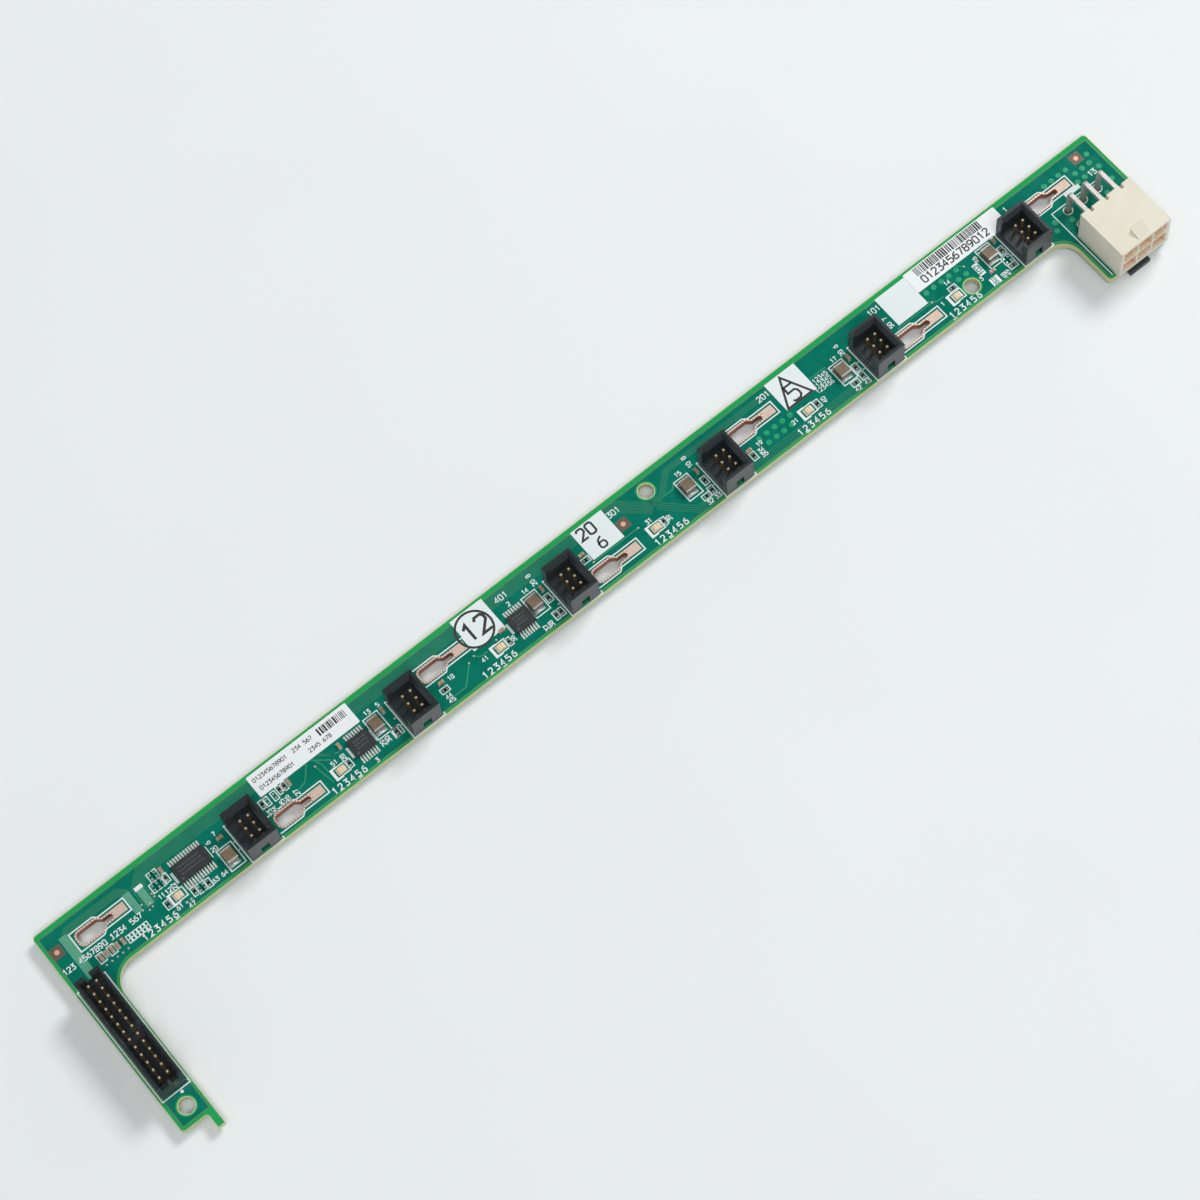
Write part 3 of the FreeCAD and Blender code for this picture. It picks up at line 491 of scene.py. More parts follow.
def offset(points: Loop, distance: float, closed: bool) -> Loop:
    """Move a line sideways with mitred corners.

    Args:
        points: The line's points.
        distance: How far to its right, in millimetres; that is outward for an anticlockwise loop.
        closed: Whether the last point joins the first.

    Returns:
        The moved points.
    """
    nothing = 1e-9
    sharpest_mitre = 0.4
    moved = []
    count = len(points)
    for i, (px, py) in enumerate(points):
        normals = []
        for a, b in ((i - 1, i), (i, i + 1)):
            if not closed and (a < 0 or b >= count):
                continue
            ax, ay = points[a % count]
            bx, by = points[b % count]
            length = math.hypot(bx - ax, by - ay)
            if length > nothing:
                normals.append(((by - ay) / length, (ax - bx) / length))
        nx = sum(n[0] for n in normals)
        ny = sum(n[1] for n in normals)
        size = max(math.hypot(nx, ny), nothing)
        nx /= size
        ny /= size
        reach = max(nx * normals[0][0] + ny * normals[0][1], sharpest_mitre)
        moved.append((px + nx * distance / reach, py + ny * distance / reach))
    return moved


def arc(x: float, y: float, radius: float, start_deg: float, stop_deg: float) -> Loop:
    """Give points along an arc.

    Args:
        x: Middle of the arc along the bar.
        y: Middle of the arc across the bar.
        radius: Its radius in millimetres.
        start_deg: The angle that it starts at.
        stop_deg: The angle that it stops at.

    Returns:
        The points in order.
    """
    steps = 10
    turns = [math.radians(start_deg + (stop_deg - start_deg) * i / steps) for i in range(steps + 1)]
    return [(x + radius * math.cos(t), y + radius * math.sin(t)) for t in turns]


def circle(x: float, y: float, radius: float, sides: int) -> Loop:
    """Give the corners of a many-sided circle, anticlockwise."""
    turns = [2 * math.pi * i / sides for i in range(sides)]
    return [(x + radius * math.cos(t), y + radius * math.sin(t)) for t in turns]


def box_loop(x0: float, x1: float, y0: float, y1: float) -> Loop:
    """Give the corners of an upright rectangle, anticlockwise."""
    return [(x0, y0), (x1, y0), (x1, y1), (x0, y1)]


class BoardFrame:
    """Where board millimetres lie in the row frame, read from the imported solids."""

    def __init__(self) -> None:
        """Read the laminate's box and the loops of its face."""
        self.low, self.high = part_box("circuit_board")
        self.thickness = (self.high.z - self.low.z) / MM
        self.length = (self.high.x - self.low.x) / MM
        loops = sorted(self.face_loops(), key=lambda loop: -abs(signed_area(loop)))
        self.outline = loops[0]
        self.holes = [anticlockwise(loop) for loop in loops[1:]]

    def board(self, place: Vector) -> Place:
        """Turn a place of the row frame into board millimetres."""
        return ((place.x - self.low.x) / MM, (place.y - self.high.y) / MM,
                (place.z - self.high.z) / MM)

    def row(self, x: float, y: float, z: float) -> Vector:
        """Turn board millimetres into a place of the row frame."""
        return Vector((self.low.x + x * MM, self.high.y + y * MM, self.high.z + z * MM))

    def span(self, node: str) -> Span:
        """Give one node's box."""
        (x0, y0, _), (x1, y1, z1) = [self.board(corner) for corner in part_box(node)]
        return Span(x0, x1, y0, y1, z1)

    def spans(self, node: str) -> list[Span]:
        """Give the boxes of a node's separate solids.

        Args:
            node: The node's name.

        Returns:
            One box for each solid, from the arm to the power end.
        """
        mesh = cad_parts[node].data
        keys = [tuple(round(c * MICRONS) for c in vertex.co) for vertex in mesh.vertices]
        places: dict[tuple, list[Place]] = {key: [] for key in keys}
        touching: dict[tuple, set[tuple]] = {key: set() for key in keys}
        for vertex, key in zip(mesh.vertices, keys):
            places[key].append(self.board(vertex.co))
        for polygon in mesh.polygons:
            ring = [keys[index] for index in polygon.vertices]
            for key in ring:
                touching[key].update(ring)
        boxes = []
        while touching:
            solid: list[Place] = []
            waiting = [next(iter(touching))]
            while waiting:
                key = waiting.pop()
                solid += places.pop(key, [])
                waiting += touching.pop(key, set())
            xs, ys, zs = zip(*solid)
            boxes.append(Span(min(xs), max(xs), min(ys), max(ys), max(zs)))
        return sorted(boxes, key=lambda box: (box.x0, box.y0))

    def face_loops(self) -> list[Loop]:
        """Trace the outline and the holes of the laminate's upper face.

        Returns:
            The loops, in board millimetres, the outline anticlockwise and the holes clockwise.
        """
        level = 0.99
        face_height = self.high.z - 0.1 * MM
        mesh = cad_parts["circuit_board"].data
        places: dict[tuple[int, int], Point] = {}
        edges: set[tuple[tuple[int, int], tuple[int, int]]] = set()
        for polygon in mesh.polygons:
            if polygon.normal.z < level or polygon.center.z < face_height:
                continue
            keys = []
            for index in polygon.vertices:
                co = mesh.vertices[index].co
                key = (round(co.x * MICRONS), round(co.y * MICRONS))
                places[key] = self.board(co)[:2]
                keys.append(key)
            edges.update(zip(keys, keys[1:] + keys[:1]))
        follow = {a: b for a, b in edges if (b, a) not in edges}
        loops = []
        while follow:
            key = min(follow)
            loop = []
            while key in follow:
                loop.append(places[key])
                key = follow.pop(key)
            loops.append(loop)
        return loops


class Side(Enum):
    """The face of the board that a film lies on, with the step through a face's corners there."""

    UPPER = 1
    UNDER = -1


# The stroke of each plain numeral, in a cell 0.6 wide and 1 high, and the spacing of the cells.
NUMERALS: dict[str, Loop] = {
    "0": [(0.12, 0), (0.48, 0), (0.6, 0.15), (0.6, 0.85), (0.48, 1), (0.12, 1), (0, 0.85), (0, 0.15),
          (0.12, 0)],
    "1": [(0.1, 0.78), (0.35, 1), (0.35, 0)],
    "2": [(0, 0.82), (0.12, 1), (0.48, 1), (0.6, 0.85), (0.6, 0.62), (0, 0), (0.6, 0)],
    "3": [(0, 1), (0.6, 1), (0.26, 0.6), (0.46, 0.58), (0.6, 0.42), (0.6, 0.15), (0.46, 0), (0.1, 0),
          (0, 0.12)],
    "4": [(0.44, 0), (0.44, 1), (0, 0.32), (0.62, 0.32)],
    "5": [(0.58, 1), (0.05, 1), (0.03, 0.58), (0.46, 0.6), (0.6, 0.45), (0.6, 0.15), (0.46, 0),
          (0.1, 0), (0, 0.1)],
    "6": [(0.52, 1), (0.14, 0.8), (0, 0.45), (0, 0.15), (0.12, 0), (0.48, 0), (0.6, 0.15), (0.6, 0.4),
          (0.48, 0.55), (0.12, 0.55), (0, 0.4)],
    "7": [(0, 1), (0.6, 1), (0.2, 0)],
    "8": [(0.12, 0.53), (0.02, 0.68), (0.02, 0.88), (0.12, 1), (0.48, 1), (0.58, 0.88), (0.58, 0.68),
          (0.48, 0.53), (0.6, 0.36), (0.6, 0.14), (0.48, 0), (0.12, 0), (0, 0.14), (0, 0.36),
          (0.12, 0.53), (0.48, 0.53)],
    "9": [(0.08, 0), (0.46, 0.2), (0.6, 0.55), (0.6, 0.85), (0.48, 1), (0.12, 1), (0, 0.85), (0, 0.6),
          (0.12, 0.45), (0.48, 0.45), (0.6, 0.6)],
}
NUMERAL_PITCH = 0.85


def add_mesh(name: str, points: list[Vector], faces: list[tuple[int, ...]],
             finish: Finish) -> bpy.types.Object:
    """Add one object to the scene.

    Args:
        name: The object's name.
        points: Its corners in the row frame.
        faces: Its faces, by the numbers of their corners.
        finish: Its finish.

    Returns:
        The new object.
    """
    mesh = bpy.data.meshes.new(name)
    mesh.from_pydata(points, [], faces)
    mesh.materials.append(finish.material())
    made = bpy.data.objects.new(name, mesh)
    bpy.context.scene.collection.objects.link(made)
    return made


class Layer:
    """Faces gathered into one piece of the board."""

    def __init__(self, board: BoardFrame) -> None:
        """Start with no faces.

        Args:
            board: The board that the piece lies on.
        """
        self.board = board
        self.points: list[Vector] = []
        self.faces: list[tuple[int, ...]] = []

    def piece(self, name: str, finish: Finish, slot: str | None = None) -> bpy.types.Object:
        """Turn the faces into a piece that rides on the board.

        Args:
            name: The piece's name.
            finish: Its finish.
            slot: Not used.

        Returns:
            The new object.
        """
        made = add_mesh(name, self.points, self.faces, finish)
        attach(made, "root")
        LOG.info("built %s with %d faces", name, len(self.faces))
        return made


class Film(Layer):
    """Flat shapes on one face of the board."""

    def __init__(self, board: BoardFrame, low: float, high: float, side: Side = Side.UPPER) -> None:
        """Start an empty film.

        Args:
            board: The board it lies on.
            low: Its bottom over the board's face, in millimetres.
            high: Its top over the board's face, in millimetres.
            side: The face it lies on.
        """
        super().__init__(board)
        self.low = low
        self.high = high
        self.side = side

    def place(self, x: float, y: float, height: float) -> Vector:
        """Give the row-frame place of a point of the film."""
        z = height if self.side is Side.UPPER else -self.board.thickness - height
        return self.board.row(x, y, z)

    def face(self, corners: list[Vector]) -> None:
        """Add one face, turned round on the underside so that it faces out.

        Args:
            corners: Its corners, anticlockwise on the upper face.
        """
        order = range(len(self.points), len(self.points) + len(corners))
        self.points += corners
        self.faces.append(tuple(order)[::self.side.value])

    def wall(self, loop: Loop) -> None:
        """Add the thin side wall along a closed loop.

        Args:
            loop: The loop, with the film on its left.
        """
        for (ax, ay), (bx, by) in zip(loop, loop[1:] + loop[:1]):
            self.face([self.place(ax, ay, self.low), self.place(bx, by, self.low),
                       self.place(bx, by, self.high), self.place(ax, ay, self.high)])

    def top(self, loop: Loop) -> None:
        """Add one face of the film's top."""
        self.face([self.place(x, y, self.high) for x, y in loop])

    def area(self, outline: Loop, holes: list[Loop]) -> None:
        """Fill an outline and leave its holes open.

        Args:
            outline: The outer loop.
            holes: The inner loops.
        """
        triangles_inside = 1
        merge_within = 1e-6
        loops = [anticlockwise(loop) for loop in [outline, *holes]]
        flat = []
        rings = []
        for loop in loops:
            rings.append(list(range(len(flat), len(flat) + len(loop))))
            flat += [Vector(point) for point in loop]
        corners, _, triangles, _, _, owners = delaunay_2d_cdt(flat, [], rings, triangles_inside,
                                                              merge_within)
        for triangle, owner in zip(triangles, owners):
            # A triangle that lies in the outline alone is in no hole.
            if list(owner) == [0]:
                self.top([(corners[i].x, corners[i].y) for i in triangle])
        self.wall(loops[0])
        for loop in loops[1:]:
            self.wall(loop[::-1])

    def patch(self, loop: Loop) -> None:
        """Add a flat shape without dents, with its wall."""
        self.top(loop)
        self.wall(loop)

    def slab(self, x0: float, x1: float, y0: float, y1: float) -> None:
        """Add an upright rectangle."""
        self.patch(box_loop(x0, x1, y0, y1))

    def slabs(self, x: float, y: float, boxes: tuple[Box, ...]) -> None:
        """Add upright rectangles that are given from one place."""
        for x0, x1, y0, y1 in boxes:
            self.slab(x + x0, x + x1, y + y0, y + y1)

    def disc(self, x: float, y: float, radius: float, sides: int = 18) -> None:
        """Add a round dot."""
        self.patch(circle(x, y, radius, sides))

    def frame(self, x0: float, x1: float, y0: float, y1: float, width: float) -> None:
        """Draw the outline of an upright rectangle."""
        self.line(box_loop(x0, x1, y0, y1), width, closed=True)

    def line(self, points: Loop, width: float, closed: bool = False) -> None:
        """Draw a line with mitred corners.

        Args:
            points: The middle of the line.
            width: Its width in millimetres.
            closed: Whether it runs back to its first point.
        """
        right = offset(points, width / 2, closed)
        left = offset(points, -width / 2, closed)
        count = len(points)
        for i in range(count if closed else count - 1):
            j = (i + 1) % count
            self.top([right[i], right[j], left[j], left[i]])
        if closed:
            self.wall(right)
            self.wall(left[::-1])
        else:
            self.wall(right + left[::-1])

    def bundle(self, points: Loop, count: int, pitch: float, width: float) -> None:
        """Draw parallel lines at an even pitch.

        Args:
            points: The middle of the bundle.
            count: How many lines it has.
            pitch: Spacing of the lines in millimetres.
            width: Width of each line in millimetres.
        """
        for i in range(count):
            self.line(offset(points, (i - (count - 1) / 2) * pitch, False), width)

    def number(self, text: str, x: float, y: float, height: float, weight: float = PLAIN,
               turned: bool = False) -> None:
        """Write plain numerals.

        Args:
            text: The digits, with spaces between groups.
            x: Where the first one starts along the bar.
            y: The foot of the digits, or where a turned row starts.
            height: Height of a digit in millimetres.
            weight: Width of a stroke over the height.
            turned: Whether the row runs up across the bar.
        """
        for i, digit in enumerate(text):
            if digit == " ":
                continue
            stroke = []
            for u, v in NUMERALS[digit]:
                ahead = (u + i * NUMERAL_PITCH) * height
                stroke.append((x - v * height, y + ahead) if turned else (x + ahead, y + v * height))
            self.line(stroke, weight * height)


@dataclass
class SubAssembly:
    """What every sub-assembly of the board works on."""

    board: BoardFrame  # Where board millimetres lie
    white: Film  # The film that gathers the white print

    def dress(self) -> None:
        """Finish the solids and lay what is on and round them."""
        raise NotImplementedError


@dataclass
class CircuitBoard(SubAssembly):
    """The laminate with its mask, planes, tracks, vias and aiming marks."""

    mask_edge: float = 0.12  # Bare laminate left along the outline
    mask_shift: float = 0.07  # How far the whole mask lies toward the front edge
    mask_height: float = 0.02
    plane_height: float = 0.01  # Height of the copper plane over the mask
    plane_edge: float = 0.85  # Mask left without copper along the outline
    plane_shift: float = 0.55  # How much more is left along the plain edge
    plane_inner: float = 0.65  # Mask left without copper along the edges that face the fans
    brown_height: float = 0.014  # Height of the plane's brown edge over the mask
    brown_width: float = 0.22  # Width of that edge
    arm_corner: float = 5.6  # Radius of the inside corner at the arm
    tab_corner: float = 4.6  # Radius of the inside corner at the tab
    hidden_corner: float = 5.0  # Radius of the tab's outer corner under the connector
    bar_middle: float = -8.0  # A place across the bar between its two long edges
    screw_least: float = 3.0  # Width that a round hole has to have to be a screw hole
    screw_room: float = 0.18  # Bare laminate round a screw hole
    screw_clear: float = 0.5  # Mask without copper round a screw hole
    hole_room: float = 0.2  # Bare laminate round any other hole
    hole_clear: float = 0.25  # Mask without copper round any other hole
    track_width: float = 0.2
    track_pitch: float = 0.36
    fan_pitch: float = 0.5  # Spacing of tracks where they fan out
    loop_pitch: float = 0.3  # Spacing of the tracks that loop round the first keyhole
    single_width: float = 0.26
    fine_width: float = 0.17
    fine_pitch: float = 0.33
    mark_side: float = 2.7  # Side of the window of an aiming mark
    mark_dot: float = 0.55  # Radius of its copper dot
    via_radius: float = 0.63  # Radius of a plugged via
    open_radius: float = 0.2

    def dress(self) -> None:
        """Finish the laminate and lay everything that is under or in the mask."""
        LAMINATE.cover("circuit_board")
        for side in Side:
            self.coat(side)
        self.lay_tracks()
        self.plug_vias()
        self.lay_aiming_marks()

    def openings(self, screw: float, other: float) -> list[Loop]:
        """Give the board's holes, widened.

        Args:
            screw: Extra room round a round screw hole.
            other: Extra room round a keyhole or a pin hole.

        Returns:
            The widened loops.
        """
        round_within = 0.1
        widened = []
        for hole in self.board.holes:
            xs, ys = zip(*hole)
            wide = max(xs) - min(xs)
            tall = max(ys) - min(ys)
            is_screw = wide > self.screw_least and abs(wide - tall) < round_within
            widened.append(offset(hole, screw if is_screw else other, True))
        return widened

    def coat(self, side: Side) -> None:
        """Lay the mask on one face, the copper plane that darkens it and the plane's brown edge.

        Args:
            side: The face.
        """
        word = side.name.lower()
        low = self.mask_height
        mask = Film(self.board, 0.0, low, side)
        inset = offset(self.board.outline, -self.mask_edge, True)
        mask.area([(x, y - self.mask_shift) for x, y in inset],
                  self.openings(self.screw_room, self.hole_room))
        mask.piece("solder_mask_" + word, MASK_BARE, "board_laminate")
        plane = Film(self.board, low, low + self.plane_height, side)
        plane.area(self.plane_loop(), self.openings(self.screw_clear, self.hole_clear))
        plane.piece("copper_plane_" + word, MASK_PLANE, "board_laminate")
        edge = Film(self.board, low, low + self.brown_height, side)
        edge.line(self.plane_loop(), self.brown_width, closed=True)
        edge.piece("plane_edge_" + word, PLANE_EDGE, "board_laminate")

    def plane_loop(self) -> Loop:
        """Give the outline of the copper plane, clear of the board's edges.

        Returns:
            The loop, anticlockwise.
        """
        outline = self.board.outline
        right = self.board.length
        middle = right / 2
        edge = self.plane_edge
        inner = self.plane_inner
        front = max(y for _, y in outline if y < self.bar_middle)
        arm_right = max(x for x, y in outline if x < middle and y < front - self.arm_corner - edge)
        tab_left = min(x for x, y in outline if x > middle and y < front - self.tab_corner - edge)
        arm_end = min(y for x, y in outline if x < arm_right / 2)
        tab_end = min(y for x, y in outline if x > middle)
        loop = [(edge, arm_end + edge), (arm_right - inner, arm_end + edge)]
        loop += arc(arm_right + self.arm_corner, front - self.arm_corner, self.arm_corner + inner,
                    180, 90)
        loop += arc(tab_left - self.tab_corner, front - self.tab_corner, self.tab_corner + inner,
                    90, 0)
        loop.append((tab_left + inner, tab_end + edge))
        loop += arc(right - self.hidden_corner, tab_end + self.hidden_corner,
                    self.hidden_corner - edge, 270, 360)
        top = -edge - self.plane_shift
        return loop + [(right - edge, top), (edge, top)]

    def over_plane(self, rise: float) -> Film:
        """Start a film on the copper plane; rises differ so that no two films lie level."""
        low = self.mask_height + self.plane_height
        return Film(self.board, low, low + rise)

    def lay_tracks(self) -> None:
        """Lay the bundles of tracks and the single tracks that show."""
        tracks = self.over_plane(rise=0.012)
        bundles = [
            # The bus along the plain edge, then its two branches past the bar's screw hole.
            ([(22.9, -10.0), (22.9, -5.4), (25.4, -2.95), (149.6, -2.95), (155.2, -8.1)], 8,
             self.track_pitch),
            ([(155.4, -7.3), (158.4, -7.1), (162.6, -3.2), (190.9, -3.2)], 4, self.track_pitch),
            ([(156.1, -8.2), (162.4, -14.5), (212.0, -14.5)], 4, self.fan_pitch),
            # The loop round the first keyhole.
            ([(5.2, -14.9), (5.2, -4.5), (6.5, -3.4), (18.8, -3.4), (20.2, -4.8), (20.2, -9.3)], 6,
             self.loop_pitch),
        ]
        for points, count, pitch in bundles:
            tracks.bundle(points, count, pitch, self.track_width)
        tracks.piece("tracks_under_mask", MASK_TRACKS, "board_laminate")
        lone = self.over_plane(rise=0.013)
        singles = [
            [(159.0, -7.5), (161.0, -7.5), (162.0, -6.5)],
            [(65.0, -6.3), (62.6, -9.2), (60.5, -9.8)],
            [(66.3, -6.3), (69.6, -9.0)],
            [(68.1, -6.3), (70.6, -8.3)],
            [(66.8, -6.9), (67.5, -8.6), (67.5, -10.6)],
            [(68.0, -6.5), (70.2, -8.1), (72.0, -8.6)],
            [(66.1, -7.9), (67.0, -13.0)],
            [(104.2, -10.5), (100.5, -14.3), (97.5, -14.3)],
            [(105.9, -9.9), (107.0, -10.9), (108.8, -11.0)],
            [(138.0, -9.6), (150.0, -9.6)],
            [(199.4, -6.5), (203.8, -6.5)],
            [(221.2, -9.7), (231.0, -9.7)],
            [(240.0, -5.9), (241.8, -7.6)],
            [(230.0, -8.8), (232.0, -10.2), (233.8, -10.2)],
        ]
        for track in singles:
            lone.line(track, self.single_width)
        lone.piece("single_tracks_under_mask", MASK_SINGLE, "board_laminate")
        fine = self.over_plane(rise=0.015)
        for x, y0, y1, count in ((5.05, -14.6, -3.8, 6), (20.1, -4.7, -10.0, 5), (22.9, -5.7, -10.0, 5)):
            fine.bundle([(x, y0), (x, y1)], count, self.fine_pitch, self.fine_width)
        fine.piece("fine_tracks_under_mask", MASK_FINE, "board_laminate")

    def plug_vias(self) -> None:
        """Lay the plugged vias beside the headers and on the tab, and the small open ones."""
        plugs = self.over_plane(rise=0.014)
        # Each row: where it starts, its place across the bar, how many and how far apart.
        rows = [
            (182.3, -10.25, 5, 2.14), (183.4, -12.24, 4, 2.1), (231.55, -7.17, 5, 2.1),
            (238.9, -9.25, 2, 2.15), (267.75, -4.2, 4, 2.05), (279.94, -4.2, 1, 0.0),
            (274.86, -6.18, 3, 2.05), (273.9, -8.16, 4, 2.02), (280.1, -12.2, 1, 0.0),
            (277.0, -14.2, 1, 0.0), (263.6, -12.4, 1, 0.0), (262.6, -14.2, 1, 0.0),
            (266.95, -14.2, 1, 0.0),
        ]
        for start, y, count, pitch in rows:
            for i in range(count):
                plugs.disc(start + i * pitch, y, self.via_radius)
        plugs.piece("plugged_vias", MASK_VIA, "board_laminate")
        places = [(21.3, -8.8), (20.9, -9.9), (22.0, -10.7), (22.9, -10.5), (22.9, -9.6),
                  (24.3, -8.2), (24.4, -9.0), (104.2, -10.5), (105.9, -9.9), (66.1, -7.9),
                  (111.7, -10.1), (138.0, -9.6), (150.0, -9.6), (241.8, -7.6), (231.0, -9.7)]
        # The five small capacitors by the arm have one in front and one behind.
        for body in self.board.spans("chip_capacitor_bodies")[:5]:
            places += [(body.x, -10.9), (body.x, -14.46)]
        open_vias = self.over_plane(rise=0.018)
        for x, y in places:
            open_vias.disc(x, y, self.open_radius, sides=12)
        open_vias.piece("open_vias", COPPER, "copper_plating")

    def lay_aiming_marks(self) -> None:
        """Lay the square windows that a placing machine aims by, each with its copper dot."""
        window = self.over_plane(rise=0.016)
        dot = self.over_plane(rise=0.026)
        half = self.mark_side / 2
        for x, y in ((2.29, -5.87), (148.16, -6.87), (277.5, -3.51)):
            window.slab(x - half, x + half, y - half, y + half)
            dot.disc(x, y, self.mark_dot)
        window.piece("aiming_windows", BARE_WINDOW, "board_laminate")
        dot.piece("aiming_dots", COPPER_DOT, "copper_plating")


@dataclass
class Keyholes(SubAssembly):
    """The copper-lined keyholes, their solder stitches and the white line round each."""

    least_length: float = 6.0  # Length that a hole has to have to be a keyhole
    foot: float = 0.05  # Top of the copper under the rim and the stitches
    rim: float = 0.12  # How far the middle of the rim lies outside the hole
    rim_width: float = 0.34
    rim_height: float = 0.066
    stitch_radius: float = 0.19
    stitch_pitch: float = 0.68  # Spacing of the stitches round the rim
    stitch_height: float = 0.075
    line_width: float = 0.28
    room: float = 0.5  # Gap from the copper's end to the white line
    # The half of the white line on the plain edge's side, from its tip.
    half_line: tuple[Point, ...] = ((-13.0, 2.3), (-7.2, 2.3), (-6.3, 1.6), (0.0, 1.6))

    def dress(self) -> None:
        """Finish the copper, set its stitches and draw the white lines."""
        COPPER.cover("keyhole_plating")
        rims = Film(self.board, self.foot, self.rim_height)
        stitches = Film(self.board, self.foot, self.stitch_height)
        for hole in self.board.holes:
            xs, _ = zip(*hole)
            if max(xs) - min(xs) >= self.least_length:
                ring = offset(hole, self.rim, True)
                rims.line(ring, self.rim_width, closed=True)
                self.stitch(stitches, ring)
        for index, land in enumerate(self.board.spans("keyhole_plating")):
            self.outline(land, closed=index == 0)
        rims.piece("keyhole_rims", COPPER_RIM, "copper_plating")
        stitches.piece("keyhole_stitches", STITCH, "solder")

    def stitch(self, film: Film, ring: Loop) -> None:
        """Set stitches at an even pitch round one keyhole.

        Args:
            film: The film of stitches.
            ring: The middle of the rim.
        """
        left = 0.0
        for (ax, ay), (bx, by) in zip(ring, ring[1:] + ring[:1]):
            length = math.hypot(bx - ax, by - ay)
            while left < length:
                film.disc(ax + (bx - ax) * left / length, ay + (by - ay) * left / length,
                          self.stitch_radius, sides=10)
                left += self.stitch_pitch
            left -= length

    def outline(self, land: Span, closed: bool) -> None:
        """Draw the white line round one keyhole.

        Args:
            land: The box of the keyhole's copper.
            closed: Whether the line closes; it is open where a header stands at the mouth.
        """
        tip = land.x1 + self.room
        upper = [(tip + x, land.y + y) for x, y in self.half_line]
        lower = [(tip + x, land.y - y) for x, y in self.half_line[::-1]]
        self.white.line(upper + lower, self.line_width, closed)


@dataclass
class FanHeaders(SubAssembly):
    """The six shrouded headers and the white frame of each."""

    line_width: float = 0.26
    left_room: float = 0.22  # Gap from the shroud to the frame's left line
    right_room: float = 0.62  # Gap from the shroud to the frame's right end
    rear_room: float = 0.1  # Gap from the shroud to the frame's rear line
    rear_length: float = 0.6  # Length of the frame's rear line
    right_length: float = 0.7  # Length of the frame's right line
    # The two ticks at the frame's left, from its left line and the plain edge.
    ticks: tuple[Box, ...] = ((-0.75, -0.25, -10.3, -10.1), (-0.75, -0.25, -12.3, -12.1))

    def dress(self) -> None:
        """Finish the shrouds and pins and draw the frames."""
        for channel in CHANNELS:
            BLACK_PLASTIC.cover(f"fan_header_shroud_{channel}")
            GOLD.cover(f"fan_header_pins_{channel}")
            shroud = self.board.span(f"fan_header_shroud_{channel}")
            left = shroud.x0 - self.left_room
            right = shroud.x1 + self.right_room
            front = shroud.y0 - self.line_width / 2
            rear = shroud.y1 + self.rear_room
            self.white.line([(left + self.rear_length, rear), (left, rear), (left, front),
                             (right, front), (right, front + self.right_length)], self.line_width)
            self.white.slabs(left, 0.0, self.ticks)


@dataclass
class SignalHeader(SubAssembly):
    """The long header on the arm, its white box and the numerals by it."""

    line_width: float = 0.26
    left_room: float = 0.35  # Gap from the shroud to the box at the left
    right_room: float = 0.4  # Gap from the shroud to the box at the right
    front_room: float = 0.5  # Gap from the shroud to the box at the arm's end
    rear_room: float = 0.4  # Gap from the shroud to the box at the bar
    dot_radius: float = 0.36  # Radius of the white dot at the first pin's end
    row_height: float = 1.15  # Height of the row of numerals on the bar
    pin_height: float = 1.3  # Height of the numeral at the box

    def dress(self) -> None:
        """Finish the shroud and pins and print round them."""
        BLACK_PLASTIC.cover("signal_header_shroud")
        GOLD.cover("signal_header_pins")
        shroud = self.board.span("signal_header_shroud")
        left = shroud.x0 - self.left_room
        right = shroud.x1 + self.right_room
        self.white.frame(left, right, shroud.y0 - self.front_room, shroud.y1 + self.rear_room,
                         self.line_width)
        self.white.slab(left, right, shroud.y0 + 0.1, shroud.y0 + 0.3)
        self.white.disc(shroud.x + 0.95, shroud.y0 - 1.1, self.dot_radius)
        self.white.number("123 4567890 1234 567", 0.8, shroud.y1 + 4.85, self.row_height, BOLD)
        self.white.number("2", 1.0, shroud.y1 + 0.9, self.pin_height)


@dataclass
class PowerConnector(SubAssembly):
    """The cream connector on the tab, its terminals, solder and rubber pad."""

    line_width: float = 0.22
    line_rear: float = -10.4  # Place across the bar of the line behind the housing
    line_left: float = 0.6  # Gap from the housing to the line beside it
    line_right: float = 0.4  # How far short of the housing's far side the line stops
    line_front: float = 1.4  # How far short of the housing's front it stops
    numeral_height: float = 1.25  # Height of the numeral by the terminals
    ring: float = 0.24  # Width of the bright solder ring round a terminal
    showing: float = 0.05  # Least height of a joint whose upper side shows

    def dress(self) -> None:
        """Finish the solids and lay the painted shade in the joints and the white print by them."""
        CREAM_NYLON.cover("power_connector_housing")
        TIN.cover("power_terminals_upper", "power_terminals_lower")
        RUBBER.cover("connector_support_pad")
        SOLDER.cover("solder_joints")
        housing = self.board.span("power_connector_housing")
        left = housing.x0 - self.line_left
        self.white.line([(housing.x1 - self.line_right, self.line_rear), (left, self.line_rear),
                         (left, housing.y0 + self.line_front)], self.line_width)
        self.white.slab(269.5, 273.6, -9.5, -8.4)
        self.white.number("13", 276.9, -9.0, self.numeral_height)
        # One film holds the painted shade of every well, and is set to the height of each joint in turn.
        wells = Film(self.board, 0.0, 0.0)
        for joint in self.board.spans("solder_joints"):
            if joint.z1 > self.showing:
                wells.low = joint.z1 - MARK_DEPTH
                wells.high = joint.z1 + MARK_RISE
                wells.disc(joint.x, joint.y, joint.along / 2 - self.ring)
        wells.piece("terminal_wells", PAINTED_JOINT_SHADE, "solder")


